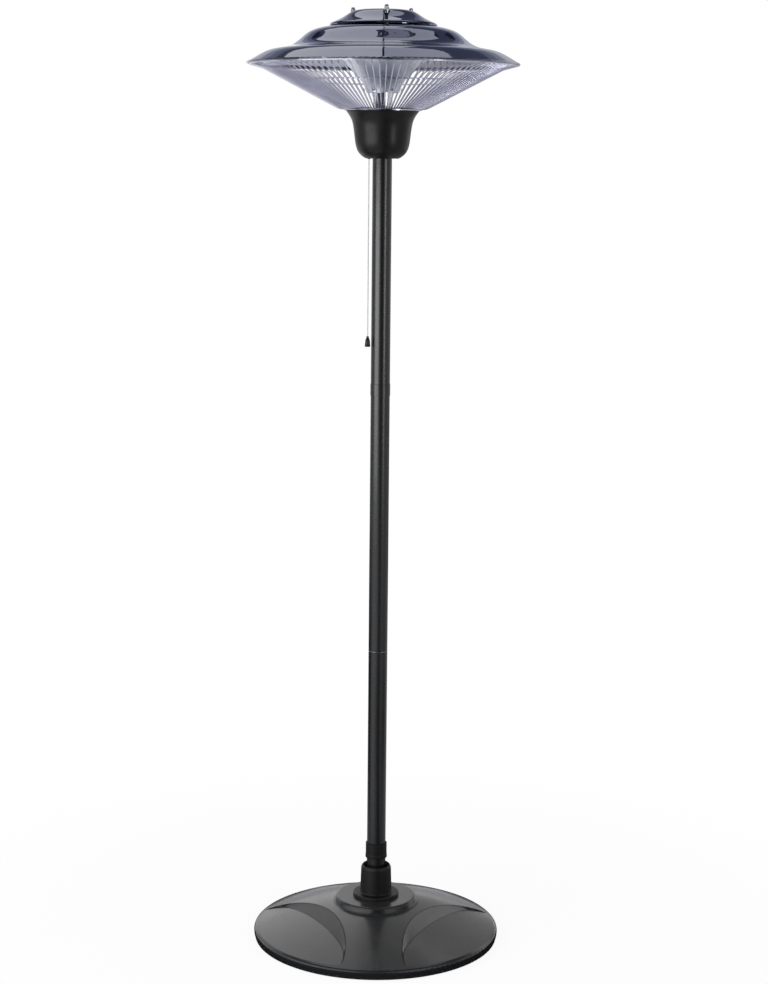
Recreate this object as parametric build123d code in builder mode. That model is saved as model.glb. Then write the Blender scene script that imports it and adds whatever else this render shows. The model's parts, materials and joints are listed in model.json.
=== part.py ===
"""Free-standing infrared patio heater: weighted round base, three-piece pole, lamp head under a round shade.

Millimetres, +Z up. The origin is the centre of the base on the floor, and -Y is the front.
Each height is given as a distance from the piece it stands on, so a longer pole carries the head up with it.
"""
from build123d import *
import math
import os

os.makedirs("parts", exist_ok=True)

# ---------------------------------------------------------------- driving dimensions
FRONT = -90.0                 # direction of the front, degrees from +X

# fits and clearances
press_gap = 0.05              # radial gap of a pressed or welded fit
slide_gap = 0.25              # radial gap of a tube that slides into another
hole_gap = 0.2                # radial gap of a screw in its hole
pivot_gap = 0.05              # radial gap of a turning pin
seat_gap = 0.02               # gap between faces that rest on each other
wire_gap = 0.08               # gap between two welded wires
pick_reach = 1.0              # an edge is looked for this near its place

# base cover
base_radius = 281.0
cover_bottom = 2.0
cover_wall_height = 19.5
cover_rim_round = 7.5
cover_hem_height = 10.0       # the wall leans in below this height above its edge
cover_hem_inset = 2.5
cover_hem_round = 15.0
cover_sheet = 2.0
dome_bulge = 8.0              # crown of the dome above a straight cone
dome_rise = 59.5
dome_foot_round = 4.0
plateau_radius = 91.0
plateau_rise = 15.0
plateau_wall_run = 4.0        # the plateau's wall leans out by this at its foot
plateau_round = 6.0

# recessed pads of the cover
pad_count = 3
pad_first_angle = FRONT + 59.0
pad_dome_gap = 23.5           # from the dome's top to the nearest point of the pad's outline
pad_circle_radius = 291.5
pad_span_share = 0.9843       # share of the half angle at which a ray only touches the pad's circle
pad_wall_width = 31.0
pad_wall_least = 2.0
pad_wall_power = 8
pad_depth_inner = 12.5
pad_rise_rim = 1.6            # the pad's floor, carried on, passes this far over the rim
pad_section_shares = (-1.0, -0.985, -0.955, -0.9, -0.82, -0.67, -0.45, -0.2,
                      0.0, 0.2, 0.45, 0.67, 0.82, 0.9, 0.955, 0.985, 1.0)
pad_cut_reach = 20.0          # the cut runs this far past the base's side and top
pad_inner_spread_angle = 0.7  # extra half angle of the pad on the inside of the sheet

# bottom plate, ballast, hub and feet
foot_height = 4.0
foot_radius = 12.0
foot_count = 6
foot_first_angle = FRONT + 30.0
foot_rim_inset = 26.0
foot_plug_radius = 3.0
plate_thickness = 2.0
plate_gap = 0.4
hub_wall_radius = 62.0
hub_sheet = 2.5
hub_foot_width = 24.0
hub_screw_inset = 11.0
hub_screw_count = 4
hub_screw_first_angle = FRONT + 135.0
weight_hub_gap = 6.0
weight_rim_inset = 53.0
weight_thickness = 14.0
weight_chamfer = 2.0
weight_screw_count = 4
weight_screw_first_angle = FRONT + 135.0
base_screw_radius = 2.5
base_screw_head_radius = 4.5
base_screw_head_height = 1.5

# mains lead inlet in the rear of the base
inlet_plate_gap = 0.8
inlet_bore_radius = 3.6
inlet_wall = 1.2
inlet_flange_width = 1.4
inlet_flange_thickness = 1.5
inlet_body_length = 9.0

# tilt switch on the bottom plate
tilt_cheek_spacing = 20.0
tilt_cheek_thickness = 3.0
tilt_case_length = 40.0
tilt_floor_thickness = 3.0
tilt_cheek_top_margin = 8.0   # from the pin to the top of the cheeks
tilt_pin_radius = 2.0
tilt_pin_height = 36.0        # above the switch's floor
tilt_bob_radius = 8.0
tilt_bob_drop = 24.0
tilt_rod_radius = 2.2
tilt_hub_wall = 3.0
tilt_hub_length = 12.0

# foot of the pole
tube_radius = 21.35
tube_wall = 2.0
stub_flange_width = 11.6
stub_flange_thickness = 4.0
foot_bolt_count = 3
foot_bolt_first_angle = FRONT + 180.0
foot_bolt_radius = 2.9
foot_bolt_head_width = 1.5    # the head stands out from the bolt by this
foot_bolt_head_height = 4.0
foot_nut_radius = 5.0
foot_nut_height = 5.0
cup_stub_gap = 0.2
cup_wall = 3.0
cup_flange_width = 16.3
cup_flange_height = 7.6
cup_flange_round = 2.5
cup_taper = 1.8               # the cup's wall comes in by this up to the shoulder
cup_shoulder_width = 3.9
cup_shoulder_rise = 64.0
cup_shoulder_height_step = 9.0
cup_shoulder_bulge = 1.0
cup_web_drop = 10.0           # from the shoulder down to the web
cup_web_thickness = 2.5
collar_cup_gap = 17.3
collar_length = 36.1
collar_wall = 2.45
collar_lip_width = 0.6
collar_lip_height = 9.0
collar_chamfer = 1.2
collar_screw_radius = 2.4
collar_screw_drop = 9.4
collar_screw_count = 2

# pole sections and joints
tube_in_collar = 18.2         # length of the lower tube inside the collar
lower_tube_length = 468.8
middle_tube_length = 596.6
upper_tube_length = 580.4
spigot_wall = 1.8
spigot_half_length = 40.0
stub_spigot_length = 60.0
sleeve_wall = 0.7
sleeve_half_length = 13.2
joint_chamfer = 0.5
pole_screw_radius = 1.9
pole_screw_head_radius = 3.6
pole_screw_head_height = 2.0
pole_screw_offset = 17.0
sleeve_screw_gap = 10.8

# bowl under the head: radius, and height above the bowl's underside
bowl_section = ((34.9, 0.0), (44.7, 5.5), (53.2, 15.0), (58.4, 29.0), (61.0, 46.5),
                (64.0, 69.0), (67.4, 82.5), (72.0, 91.5), (79.0, 101.0))
bowl_pole_lap = 74.0          # length of the pole inside the bowl
bowl_lip_height = 2.0
bowl_wall = 2.5
bowl_floor = 3.0
bowl_boss_inset = 19.0
bowl_boss_radius = 5.0
bowl_boss_count = 3
bowl_boss_first_angle = FRONT + 60.0
bowl_boss_drop = 22.0
plate_screw_radius = 1.8
plate_screw_head_radius = 3.5
plate_screw_head_height = 2.0
clamp_wall = 5.0
clamp_height = 18.0
clamp_screw_radius = 2.0
clamp_screw_count = 2

# head plate and pillar
head_plate_overhang = 6.0
head_plate_thickness = 1.5
pillar_radius = 21.0
pillar_wall = 1.5
pillar_flange_width = 12.0
pillar_flange_thickness = 2.5
pillar_screw_count = 3
pillar_screw_first_angle = FRONT + 60.0
lead_radius = 1.6
lead_circle_radius = 8.0
lead_count = 3
lead_first_angle = FRONT + 60.0

# cage
cage_wire_radius = 1.3
cage_wire_count = 112
cage_ring_radius = 1.4        # wire radius of the three rings
cage_plate_gap = 0.28
cage_plate_inset = 1.7        # from the plate's edge in to the bottom ring
cage_foot_run = 11.7
cage_knee_rise = 86.3
cage_rim_rise = 7.0
cage_flat_width = 26.0        # from the knee out to the rim
cage_rim_inset = 9.0
cage_foot_bend = 30.0
cage_knee_bend = 22.0
cage_mid_ring_share = 0.6587  # place of the middle ring on the slope from foot to knee
clip_count = 4
clip_first_angle = FRONT + 135.0
clip_width = 9.0
clip_sheet = 1.2
clip_tab = 8.0
clip_wire_gap = 2.0           # between the clip's back and the outer ring

# shade: shares of the rim radius, and heights above the rim bead's centre
rim_radius = 297.0
rim_bead_radius = 2.4
rim_cage_gap = 2.9            # from the end of the cage up to the rim bead's centre
shade_shares = (0.41077, 0.48148, 0.54882, 0.62121, 0.70707, 0.84175, 0.92929, 0.99428)
shade_heights = (77.6, 73.6, 65.1, 47.6, 34.6, 26.1, 13.1, 1.9)
shade_sheet = 1.2
shade_vent_radius = 60.0

# reflector dish: shares of the rim radius, and heights above the rim bead's centre
dish_shares = (0.33333, 0.40404, 0.47811, 0.55556, 0.6229, 0.6835, 0.84175, 0.94276)
dish_heights = (61.6, 62.0, 58.6, 49.6, 37.6, 29.1, 17.6, 4.6)
dish_sheet = 0.8
dish_sleeve_depth = 36.0
dish_cut_reach = 5.0          # the holes are cut this far either side of the dish

# centre funnel: shares of the way from its foot out to its mouth, and heights above the foot
funnel_foot_radius = 36.0
funnel_mouth_gap = 2.4        # between the funnel's mouth and the dish's sleeve
funnel_sleeve_lap = 4.0
funnel_shares = (0.0, 0.198, 0.5363, 0.8251, 1.0)
funnel_heights = (0.0, 25.0, 48.0, 68.0, 90.0)
funnel_sheet = 0.8
funnel_screw_count = 6
funnel_screw_rise = 6.0
funnel_screw_head_radius = 3.4
funnel_screw_slope_angle = 64.0
funnel_screw_stand_off = 1.0

# hub plate, studs and spacers
hub_plate_inset = 8.0
hub_plate_thickness = 2.0
hub_vent_count = 6
hub_vent_radius = 11.0
hub_vent_circle_radius = 44.0
stud_count = 3
stud_first_angle = FRONT + 5.0
stud_circle_share = 0.6266    # of the cap's radius
stud_radius = 3.0
stud_spacer_radius = 5.5
stud_head_height = 2.5
reflector_spacer_inset = 7.0
reflector_spacer_radius = 4.0
reflector_spacer_bore_radius = 2.0
reflector_spacer_turn_angle = 60.0
reflector_spacer_dish_gap = 0.5

# cap: shares of its radius, and heights above the shade's flat top
cap_shade_inset = 5.5
cap_shares = (0.0, 0.309, 0.5923, 0.7039, 0.8069, 0.8841, 0.9528, 0.9888, 1.0)
cap_heights = (38.0, 36.6, 32.0, 24.0, 17.0, 12.8, 9.4, 6.9, 3.0)
cap_sheet = 1.2
cap_dimple_radius = 7.5
cap_dimple_drop = 7.0
washer_radius = 6.5
washer_thickness = 1.2
nut_flats = 10.0
nut_hex_height = 5.6
nut_height = 11.76
nut_wall = 1.6
nut_shoulder = 0.4            # step between the flats and the dome
nut_crown_flat = 0.6

# lamps
lamp_count = 3
lamp_first_angle = FRONT
lamp_sleeve_gap = 23.0        # from the dish's sleeve out to the lamps
lamp_drop = 24.0
lamp_tube_radius = 5.0
lamp_tube_wall = 1.0
lamp_tube_length = 96.0
filament_radius = 1.1
filament_end_gap = 6.0
end_cap_wall = 0.4
end_cap_length = 10.0
holder_size = 15.0
holder_round = 1.5
holder_length = 12.0
holder_socket_depth = 5.0
bracket_width = 6.0

# pull switch and cord
cord_side_gap = 7.65          # from the pole's side out to the cord
cord_front_offset = 12.0      # of the cord in front of the pole's axis
cord_radius = 1.2
cord_length = 387.0
knob_height = 23.3
knob_bottom_radius = 6.5
knob_top_radius = 2.8
knob_shoulder = 8.0
knob_top_chamfer = 0.8
knob_bottom_chamfer = 1.2
knob_waist_inset = 0.6
pull_travel = 8.0
lever_arm = 16.0
lever_rise = 46.0
lever_thickness = 3.0
lever_width = 6.4
lever_slot = 4.4
lever_overhang = 5.0
lever_hub_wall = 2.1
lever_pin_radius = 1.5
hook_ball_radius = 3.2
hook_ball_gap = 0.3
hook_floor_gap = 2.0          # from the hook to the bowl's floor at full pull
switch_cheek_sheet = 2.0
switch_cheek_gap = 0.5
switch_body_start = 6.0       # from the lever pin to the closed part of the case
switch_body_length = 14.0
switch_drop = 22.0
switch_cheek_front = 5.0
switch_cheek_lap = 1.0        # the cheeks run this far into the closed part
spring_length = 1.4
spring_wall = 1.1
eyelet_cord_gap = 0.5
eyelet_wall = 0.8
eyelet_flange_width = 0.8
eyelet_flange_height = 1.0

# other electrical parts in the bowl
terminal_length = 26.0
terminal_width = 15.0
terminal_height = 18.0
terminal_offset = 42.0
terminal_ways = 3
terminal_hole_radius = 2.0
cutout_radius = 8.0
cutout_height = 9.0
cutout_offset = 42.0
cutout_round = 1.0


# ---------------------------------------------------------------- derived sizes and places
def scaled_profile(radius, shares, start_height, heights):
    """Points of a profile from shares of a radius and from heights above a start."""
    return [(radius * share, start_height + height) for share, height in zip(shares, heights)]


def profile_height(points, radius):
    """Height of a profile at a radius, read on the straight lines between its points."""
    height = points[-1][1]
    for (r1, z1), (r2, z2) in zip(points, points[1:]):
        if r1 <= radius <= r2:
            height = z1 + (radius - r1) * (z2 - z1) / (r2 - r1)
    return height


# base
cover_wall_top = cover_bottom + cover_wall_height
dome_top_height = cover_wall_top + dome_rise
dome_top_radius = plateau_radius + plateau_wall_run
plateau_height = dome_top_height + plateau_rise
pad_circle_centre = dome_top_radius + pad_dome_gap + pad_circle_radius
pad_half_angle = pad_span_share * math.degrees(math.asin(pad_circle_radius / pad_circle_centre))
pad_floor_start = pad_circle_centre - pad_circle_radius + pad_wall_width + pad_wall_least
plate_bottom = foot_height
plate_top = plate_bottom + plate_thickness
plate_radius = base_radius - cover_sheet - cover_hem_inset - plate_gap
foot_circle_radius = base_radius - foot_rim_inset
hub_top = plateau_height - cover_sheet - seat_gap
hub_foot_radius = hub_wall_radius + hub_foot_width
hub_screw_circle_radius = hub_foot_radius - hub_screw_inset
weight_inner_radius = hub_foot_radius + weight_hub_gap
weight_outer_radius = base_radius - weight_rim_inset
weight_screw_circle_radius = (weight_inner_radius + weight_outer_radius) / 2
inlet_body_radius = inlet_bore_radius + inlet_wall
inlet_flange_radius = inlet_body_radius + inlet_flange_width
inlet_height = plate_top + inlet_plate_gap + inlet_body_radius

# foot of the pole
tube_bore = tube_radius - tube_wall
neck_radius = tube_radius + press_gap
spigot_radius = tube_bore - slide_gap / 2
stub_flange_radius = neck_radius + stub_flange_width
stub_flange_top = plateau_height + stub_flange_thickness
foot_bolt_circle_radius = (neck_radius + stub_flange_radius) / 2
foot_bolt_head_radius = foot_bolt_radius + foot_bolt_head_width
cup_base_radius = stub_flange_radius + cup_stub_gap + cup_wall
cup_flange_radius = cup_base_radius + cup_flange_width
cup_shoulder_radius = cup_base_radius - cup_taper
cup_top_radius = cup_shoulder_radius - cup_shoulder_width
cup_shoulder_height = plateau_height + cup_shoulder_rise
cup_top_height = cup_shoulder_height + cup_shoulder_height_step
cup_web_height = cup_shoulder_height - cup_web_drop
collar_bore = neck_radius + slide_gap
collar_radius = collar_bore + collar_wall
collar_lip_radius = collar_radius + collar_lip_width
collar_bottom = cup_top_height + collar_cup_gap
collar_top = collar_bottom + collar_length
collar_screw_height = collar_top - collar_screw_drop

# pole
lower_tube_bottom = collar_top - tube_in_collar
lower_joint_height = lower_tube_bottom + lower_tube_length
upper_joint_height = lower_joint_height + middle_tube_length
upper_tube_top = upper_joint_height + upper_tube_length
sleeve_radius = tube_radius + press_gap + sleeve_wall
sleeve_screw_offset = sleeve_half_length + sleeve_screw_gap

# bowl
bowl_bottom = upper_tube_top - bowl_pole_lap
bowl_profile = [(radius, bowl_bottom + height) for radius, height in bowl_section]
bowl_lip_radius = bowl_profile[-1][0]
bowl_lip_top = bowl_profile[-1][1] + bowl_lip_height
bowl_boss_circle_radius = bowl_lip_radius - bowl_boss_inset
clamp_radius = tube_radius + press_gap + clamp_wall

# head plate, pillar and cage
head_plate_radius = bowl_lip_radius + head_plate_overhang
head_plate_bottom = bowl_lip_top + seat_gap
head_plate_top = head_plate_bottom + head_plate_thickness
pillar_bottom = head_plate_top + seat_gap
pillar_flange_radius = pillar_radius + pillar_flange_width
pillar_screw_circle_radius = (pillar_radius + pillar_flange_radius) / 2
cage_foot_height = head_plate_top + cage_plate_gap + cage_ring_radius
cage_bottom_ring_circle_radius = head_plate_radius - cage_plate_inset
cage_foot_radius = cage_bottom_ring_circle_radius + cage_foot_run
cage_rim_radius = rim_radius - cage_rim_inset
cage_knee_radius = cage_rim_radius - cage_flat_width
cage_knee_height = cage_foot_height + cage_knee_rise
cage_rim_height = cage_knee_height + cage_rim_rise
cage_mid_ring_circle_radius = cage_foot_radius + cage_mid_ring_share * (cage_knee_radius - cage_foot_radius)

# shade, dish and funnel
rim_bead_height = cage_rim_height + rim_cage_gap
shade_profile = scaled_profile(rim_radius, shade_shares, rim_bead_height, shade_heights)
shade_top_radius, shade_top = shade_profile[0]
hub_plate_radius = shade_top_radius - hub_plate_inset
hub_plate_top = shade_top - shade_sheet - seat_gap
hub_plate_bottom = hub_plate_top - hub_plate_thickness
pillar_top = hub_plate_bottom - seat_gap
dish_profile = scaled_profile(rim_radius, dish_shares, rim_bead_height, dish_heights)
dish_sleeve_radius, dish_sleeve_top = dish_profile[0]
dish_sleeve_bottom = dish_sleeve_top - dish_sleeve_depth
funnel_bottom = dish_sleeve_bottom + funnel_sleeve_lap - funnel_heights[-1]
funnel_width = dish_sleeve_radius - funnel_mouth_gap - funnel_foot_radius
funnel_profile = [(funnel_foot_radius + funnel_width * share, funnel_bottom + height)
                  for share, height in zip(funnel_shares, funnel_heights)]
funnel_screw_height = funnel_bottom + funnel_screw_rise
reflector_spacer_circle_radius = hub_plate_radius - reflector_spacer_inset
cap_radius = shade_top_radius - cap_shade_inset
cap_profile = scaled_profile(cap_radius, cap_shares, shade_top, cap_heights)
cap_dimple_height = cap_profile[0][1] - cap_dimple_drop
stud_circle_radius = cap_radius * stud_circle_share
lamp_circle_radius = dish_sleeve_radius + lamp_sleeve_gap
lamp_height = dish_sleeve_top - lamp_drop
end_cap_radius = lamp_tube_radius + end_cap_wall

# pull switch and cord
cord_x = -(tube_radius + cord_side_gap)
cord_y = -cord_front_offset
lever_height = bowl_bottom + lever_rise
lever_hub_radius = lever_pin_radius + lever_hub_wall
spring_radius = lever_pin_radius + spring_wall
eyelet_bore_radius = cord_radius + eyelet_cord_gap
eyelet_body_radius = eyelet_bore_radius + eyelet_wall
eyelet_flange_radius = eyelet_body_radius + eyelet_flange_width
knob_top = bowl_bottom - cord_length
tilt_hub_radius = tilt_pin_radius + tilt_hub_wall


def dome_height(radius):
    """Height of the dome's outer face at a distance from the axis: a cone with a slight crown."""
    share = (radius - dome_top_radius) / (base_radius - dome_top_radius)
    cone = dome_top_height + share * (cover_wall_top - dome_top_height)
    return cone + 4 * dome_bulge * share * (1 - share)


def moved_sideways(points, distance):
    """Points of a profile moved square to it, to the right of its direction of travel."""
    moved = []
    for index, (x, y) in enumerate(points):
        before = points[max(index - 1, 0)]
        after = points[min(index + 1, len(points) - 1)]
        run, rise = after[0] - before[0], after[1] - before[1]
        length = math.hypot(run, rise)
        moved.append((x + distance * rise / length, y - distance * run / length))
    return moved


def sheet_face(points, thickness):
    """Face between a smooth curve through the points and its copy moved by the sheet's thickness."""
    other = moved_sideways(points, thickness)
    with BuildSketch(Plane.XZ) as face:
        with BuildLine():
            Spline(*points)
            Line(points[-1], other[-1])
            Spline(*reversed(other))
            Line(other[0], points[0])
        make_face()
    return face.sketch


def tube(outer, inner, bottom, top):
    """Plain round tube on the main axis."""
    with BuildPart() as piece:
        with BuildSketch(Plane.XY.offset(bottom)):
            Circle(outer)
            Circle(inner, mode=Mode.SUBTRACT)
        extrude(amount=top - bottom)
    return piece.part


def radial_plane(angle):
    """Upright plane through the main axis: local x runs outwards at the angle, local y runs up."""
    turn = math.radians(angle)
    return Plane(origin=(0, 0, 0), x_dir=(math.cos(turn), math.sin(turn), 0),
                 z_dir=(math.sin(turn), -math.cos(turn), 0))


def outward_plane(angle, radius, height):
    """Plane that looks outwards from the axis, at a radius and a height."""
    turn = math.radians(angle)
    outward = Vector(math.cos(turn), math.sin(turn), 0)
    return Plane(origin=outward * radius + Vector(0, 0, height), x_dir=(-outward.Y, outward.X, 0),
                 z_dir=outward)


# ---------------------------------------------------------------- base cover
def cover_face(inset):
    """Half section of the closed dome, its faces moved inwards by the inset."""
    wall = base_radius - inset
    hem = (wall, cover_bottom + cover_hem_height)
    edge = (wall, cover_wall_top - inset)
    middle_radius = (base_radius + dome_top_radius) / 2
    middle = (middle_radius, dome_height(middle_radius) - inset)
    with BuildSketch(Plane.XZ) as face:
        with BuildLine():
            Polyline((0, cover_bottom), (wall - cover_hem_inset, cover_bottom), hem, edge)
            ThreePointArc(edge, middle, (dome_top_radius - inset, dome_top_height - inset))
            Polyline(
                (dome_top_radius - inset, dome_top_height - inset),
                (plateau_radius - inset, plateau_height - inset),
                (0, plateau_height - inset),
                (0, cover_bottom),
            )
        make_face()
        rim = face.vertices().sort_by_distance(edge)[0]
        fillet(rim, cover_rim_round - inset)
        bend = face.vertices().sort_by_distance(hem)[0]
        fillet(bend, cover_hem_round)
        corner = face.vertices().sort_by_distance((plateau_radius - inset, plateau_height - inset))[0]
        fillet(corner, plateau_round - inset / 2)
        hollow = face.vertices().sort_by_distance((dome_top_radius - inset, dome_top_height - inset))[0]
        fillet(hollow, dome_foot_round)
    return face.sketch


def pad_angle(share, inset):
    """Angle from the pad's middle at a share of its half angle, a little wider inside the sheet."""
    spread = pad_half_angle + (pad_inner_spread_angle if inset else 0)
    return share * spread


def pad_section(share, inset):
    """Cutting outline of a pad in the upright plane at a share of its half angle."""
    angle = math.radians(pad_angle(share, inset))
    circle_radius = pad_circle_radius + inset
    chord = math.sqrt(circle_radius ** 2 - (pad_circle_centre * math.sin(angle)) ** 2)
    start = pad_circle_centre * math.cos(angle) - chord
    width = pad_wall_least + pad_wall_width * (1 - abs(share) ** pad_wall_power)
    foot = start + width
    reach = (foot - pad_floor_start) / (base_radius - pad_floor_start)
    depth = pad_depth_inner - reach * (pad_rise_rim + pad_depth_inner)
    foot_point = (foot, dome_height(foot) - depth - inset)
    start_point = (start, dome_height(start) - inset)
    back_off = ((start_point[0] - foot_point[0]) / 4, (start_point[1] - foot_point[1]) / 4)
    edge_point = (start_point[0] + back_off[0], start_point[1] + back_off[1])
    rim_point = (base_radius, cover_wall_top + pad_rise_rim - inset)
    slope = (rim_point[1] - foot_point[1]) / (rim_point[0] - foot_point[0])
    far_radius = base_radius + pad_cut_reach
    far_point = (far_radius, rim_point[1] + slope * (far_radius - rim_point[0]))
    ceiling = plateau_height + pad_cut_reach
    return [edge_point, foot_point, far_point, (far_radius, ceiling), (edge_point[0], ceiling)]


def pad_cut(inset):
    """Solid that recesses one pad, centred on +X."""
    with BuildPart() as cut:
        for share in pad_section_shares:
            with BuildSketch(radial_plane(pad_angle(share, inset))):
                with BuildLine():
                    Polyline(*pad_section(share, inset), close=True)
                make_face()
        loft()
    return cut.part


pad_angles = [pad_first_angle + index * 360 / pad_count for index in range(pad_count)]
foot_bolt_places = PolarLocations(foot_bolt_circle_radius, foot_bolt_count, start_angle=foot_bolt_first_angle)

with BuildPart() as cover_core:
    add(cover_face(cover_sheet))
    revolve(axis=Axis.Z)
    inner_cut = pad_cut(cover_sheet)
    for angle in pad_angles:
        add(inner_cut.rotate(Axis.Z, angle), mode=Mode.SUBTRACT)

with BuildPart() as base_cover:
    add(cover_face(0))
    revolve(axis=Axis.Z)
    outer_cut = pad_cut(0)
    for angle in pad_angles:
        add(outer_cut.rotate(Axis.Z, angle), mode=Mode.SUBTRACT)
    add(cover_core.part, mode=Mode.SUBTRACT)
    with BuildSketch(Plane.XY.offset(cover_bottom)):
        Circle(tube_bore)
    extrude(amount=plateau_height, mode=Mode.SUBTRACT)
    with BuildSketch(Plane.XY.offset(plateau_height - 2 * cover_sheet)):
        with foot_bolt_places:
            Circle(foot_bolt_radius + hole_gap)
    extrude(amount=4 * cover_sheet, mode=Mode.SUBTRACT)
    with BuildSketch(outward_plane(-FRONT, base_radius - 3 * cover_sheet, inlet_height)):
        Circle(inlet_body_radius + hole_gap)
    extrude(amount=6 * cover_sheet, mode=Mode.SUBTRACT)
base_cover.part.label = "base_cover"
export_step(base_cover.part, "parts/base_cover.step")


# ---------------------------------------------------------------- bottom plate, ballast, hub, feet
foot_places = PolarLocations(foot_circle_radius, foot_count, start_angle=foot_first_angle)
weight_screw_places = PolarLocations(weight_screw_circle_radius, weight_screw_count,
                                     start_angle=weight_screw_first_angle)
hub_screw_places = PolarLocations(hub_screw_circle_radius, hub_screw_count, start_angle=hub_screw_first_angle)

with BuildPart() as base_plate:
    with BuildSketch(Plane.XY.offset(plate_bottom)):
        Circle(plate_radius)
        with foot_places:
            Circle(foot_plug_radius + hole_gap, mode=Mode.SUBTRACT)
        with weight_screw_places:
            Circle(base_screw_radius + hole_gap, mode=Mode.SUBTRACT)
        with hub_screw_places:
            Circle(base_screw_radius + hole_gap, mode=Mode.SUBTRACT)
    extrude(amount=plate_thickness)
base_plate.part.label = "base_plate"
export_step(base_plate.part, "parts/base_plate.step")

weight_bottom = plate_top + seat_gap
with BuildPart() as base_weight:
    with BuildSketch(Plane.XY.offset(weight_bottom)):
        Circle(weight_outer_radius)
        Circle(weight_inner_radius, mode=Mode.SUBTRACT)
        with weight_screw_places:
            Circle(base_screw_radius + hole_gap, mode=Mode.SUBTRACT)
    extrude(amount=weight_thickness)
    top_edges = base_weight.edges().filter_by(GeomType.CIRCLE).group_by(Axis.Z)[-1]
    chamfer(top_edges.sort_by(SortBy.LENGTH)[-2:], weight_chamfer)
base_weight.part.label = "base_weight"
export_step(base_weight.part, "parts/base_weight.step")

with BuildPart() as hub_stand:
    with BuildSketch(Plane.XZ):
        with BuildLine():
            Polyline(
                (tube_bore, hub_top),
                (hub_wall_radius, hub_top),
                (hub_wall_radius, weight_bottom + hub_sheet),
                (hub_foot_radius, weight_bottom + hub_sheet),
                (hub_foot_radius, weight_bottom),
                (hub_wall_radius - hub_sheet, weight_bottom),
                (hub_wall_radius - hub_sheet, hub_top - hub_sheet),
                (tube_bore, hub_top - hub_sheet),
                close=True,
            )
        make_face()
    revolve(axis=Axis.Z)
    with BuildSketch(Plane.XY.offset(hub_top - 2 * hub_sheet)):
        with foot_bolt_places:
            Circle(foot_bolt_radius + hole_gap)
    extrude(amount=3 * hub_sheet, mode=Mode.SUBTRACT)
    with BuildSketch(Plane.XY.offset(plate_bottom)):
        with hub_screw_places:
            Circle(base_screw_radius + hole_gap)
    extrude(amount=plate_thickness + 2 * hub_sheet, mode=Mode.SUBTRACT)
hub_stand.part.label = "hub_stand"
export_step(hub_stand.part, "parts/hub_stand.step")

with BuildPart() as rubber_feet:
    with BuildSketch():
        with foot_places:
            Circle(foot_radius)
    extrude(amount=foot_height - seat_gap)
    chamfer(rubber_feet.edges().group_by(Axis.Z)[0], foot_height / 4)
    with BuildSketch(Plane.XY.offset(foot_height - seat_gap)):
        with foot_places:
            Circle(foot_plug_radius)
    extrude(amount=plate_thickness)
rubber_feet.part.label = "rubber_feet"
export_step(rubber_feet.part, "parts/rubber_feet.step")

with BuildPart() as base_screws:
    with BuildSketch(Plane.XY.offset(plate_bottom - base_screw_head_height - seat_gap)):
        with weight_screw_places:
            Circle(base_screw_head_radius)
        with hub_screw_places:
            Circle(base_screw_head_radius)
    extrude(amount=base_screw_head_height)
    with BuildSketch(Plane.XY.offset(plate_bottom - seat_gap)):
        with weight_screw_places:
            Circle(base_screw_radius)
        with hub_screw_places:
            Circle(base_screw_radius)
    extrude(amount=plate_thickness + hub_sheet)
base_screws.part.label = "base_screws"
export_step(base_screws.part, "parts/base_screws.step")

with BuildPart() as cable_gland:
    with BuildSketch(outward_plane(-FRONT, base_radius + seat_gap + press_gap, inlet_height)):
        Circle(inlet_flange_radius)
    extrude(amount=inlet_flange_thickness)
    with BuildSketch(outward_plane(-FRONT, base_radius + seat_gap + press_gap, inlet_height)):
        Circle(inlet_body_radius)
    extrude(amount=-inlet_body_length)
    with BuildSketch(outward_plane(-FRONT, base_radius + 2 * inlet_flange_thickness, inlet_height)):
        Circle(inlet_bore_radius)
    extrude(amount=-2 * inlet_body_length, mode=Mode.SUBTRACT)
cable_gland.part.label = "cable_gland"
export_step(cable_gland.part, "parts/cable_gland.step")


# ---------------------------------------------------------------- tilt switch
tilt_floor_top = plate_top + seat_gap + tilt_floor_thickness
tilt_axis_height = tilt_floor_top + tilt_pin_height
cheek_middle = (tilt_cheek_spacing + tilt_cheek_thickness) / 2

with BuildPart() as tilt_case:
    with BuildSketch(Plane.XY.offset(plate_top + seat_gap)):
        Rectangle(tilt_case_length, tilt_cheek_spacing + 2 * tilt_cheek_thickness)
    extrude(amount=tilt_floor_thickness)
    with BuildSketch(Plane.XY.offset(tilt_floor_top)):
        with Locations((0, cheek_middle), (0, -cheek_middle)):
            Rectangle(tilt_case_length / 2, tilt_cheek_thickness)
    extrude(amount=tilt_pin_height + tilt_cheek_top_margin)
    with BuildSketch(Plane.XZ.offset(-tilt_cheek_spacing)):
        with Locations((0, tilt_axis_height)):
            Circle(tilt_pin_radius + press_gap)
    extrude(amount=2 * tilt_cheek_spacing, mode=Mode.SUBTRACT)
tilt_case.part.label = "tilt_case"
export_step(tilt_case.part, "parts/tilt_case.step")

tilt_pin_half = tilt_cheek_spacing / 2 + tilt_cheek_thickness
with BuildPart() as tilt_pin:
    with BuildSketch(Plane.XZ.offset(-tilt_pin_half)):
        with Locations((0, tilt_axis_height)):
            Circle(tilt_pin_radius)
    extrude(amount=2 * tilt_pin_half)
tilt_pin.part.label = "tilt_pin"
export_step(tilt_pin.part, "parts/tilt_pin.step")

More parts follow.
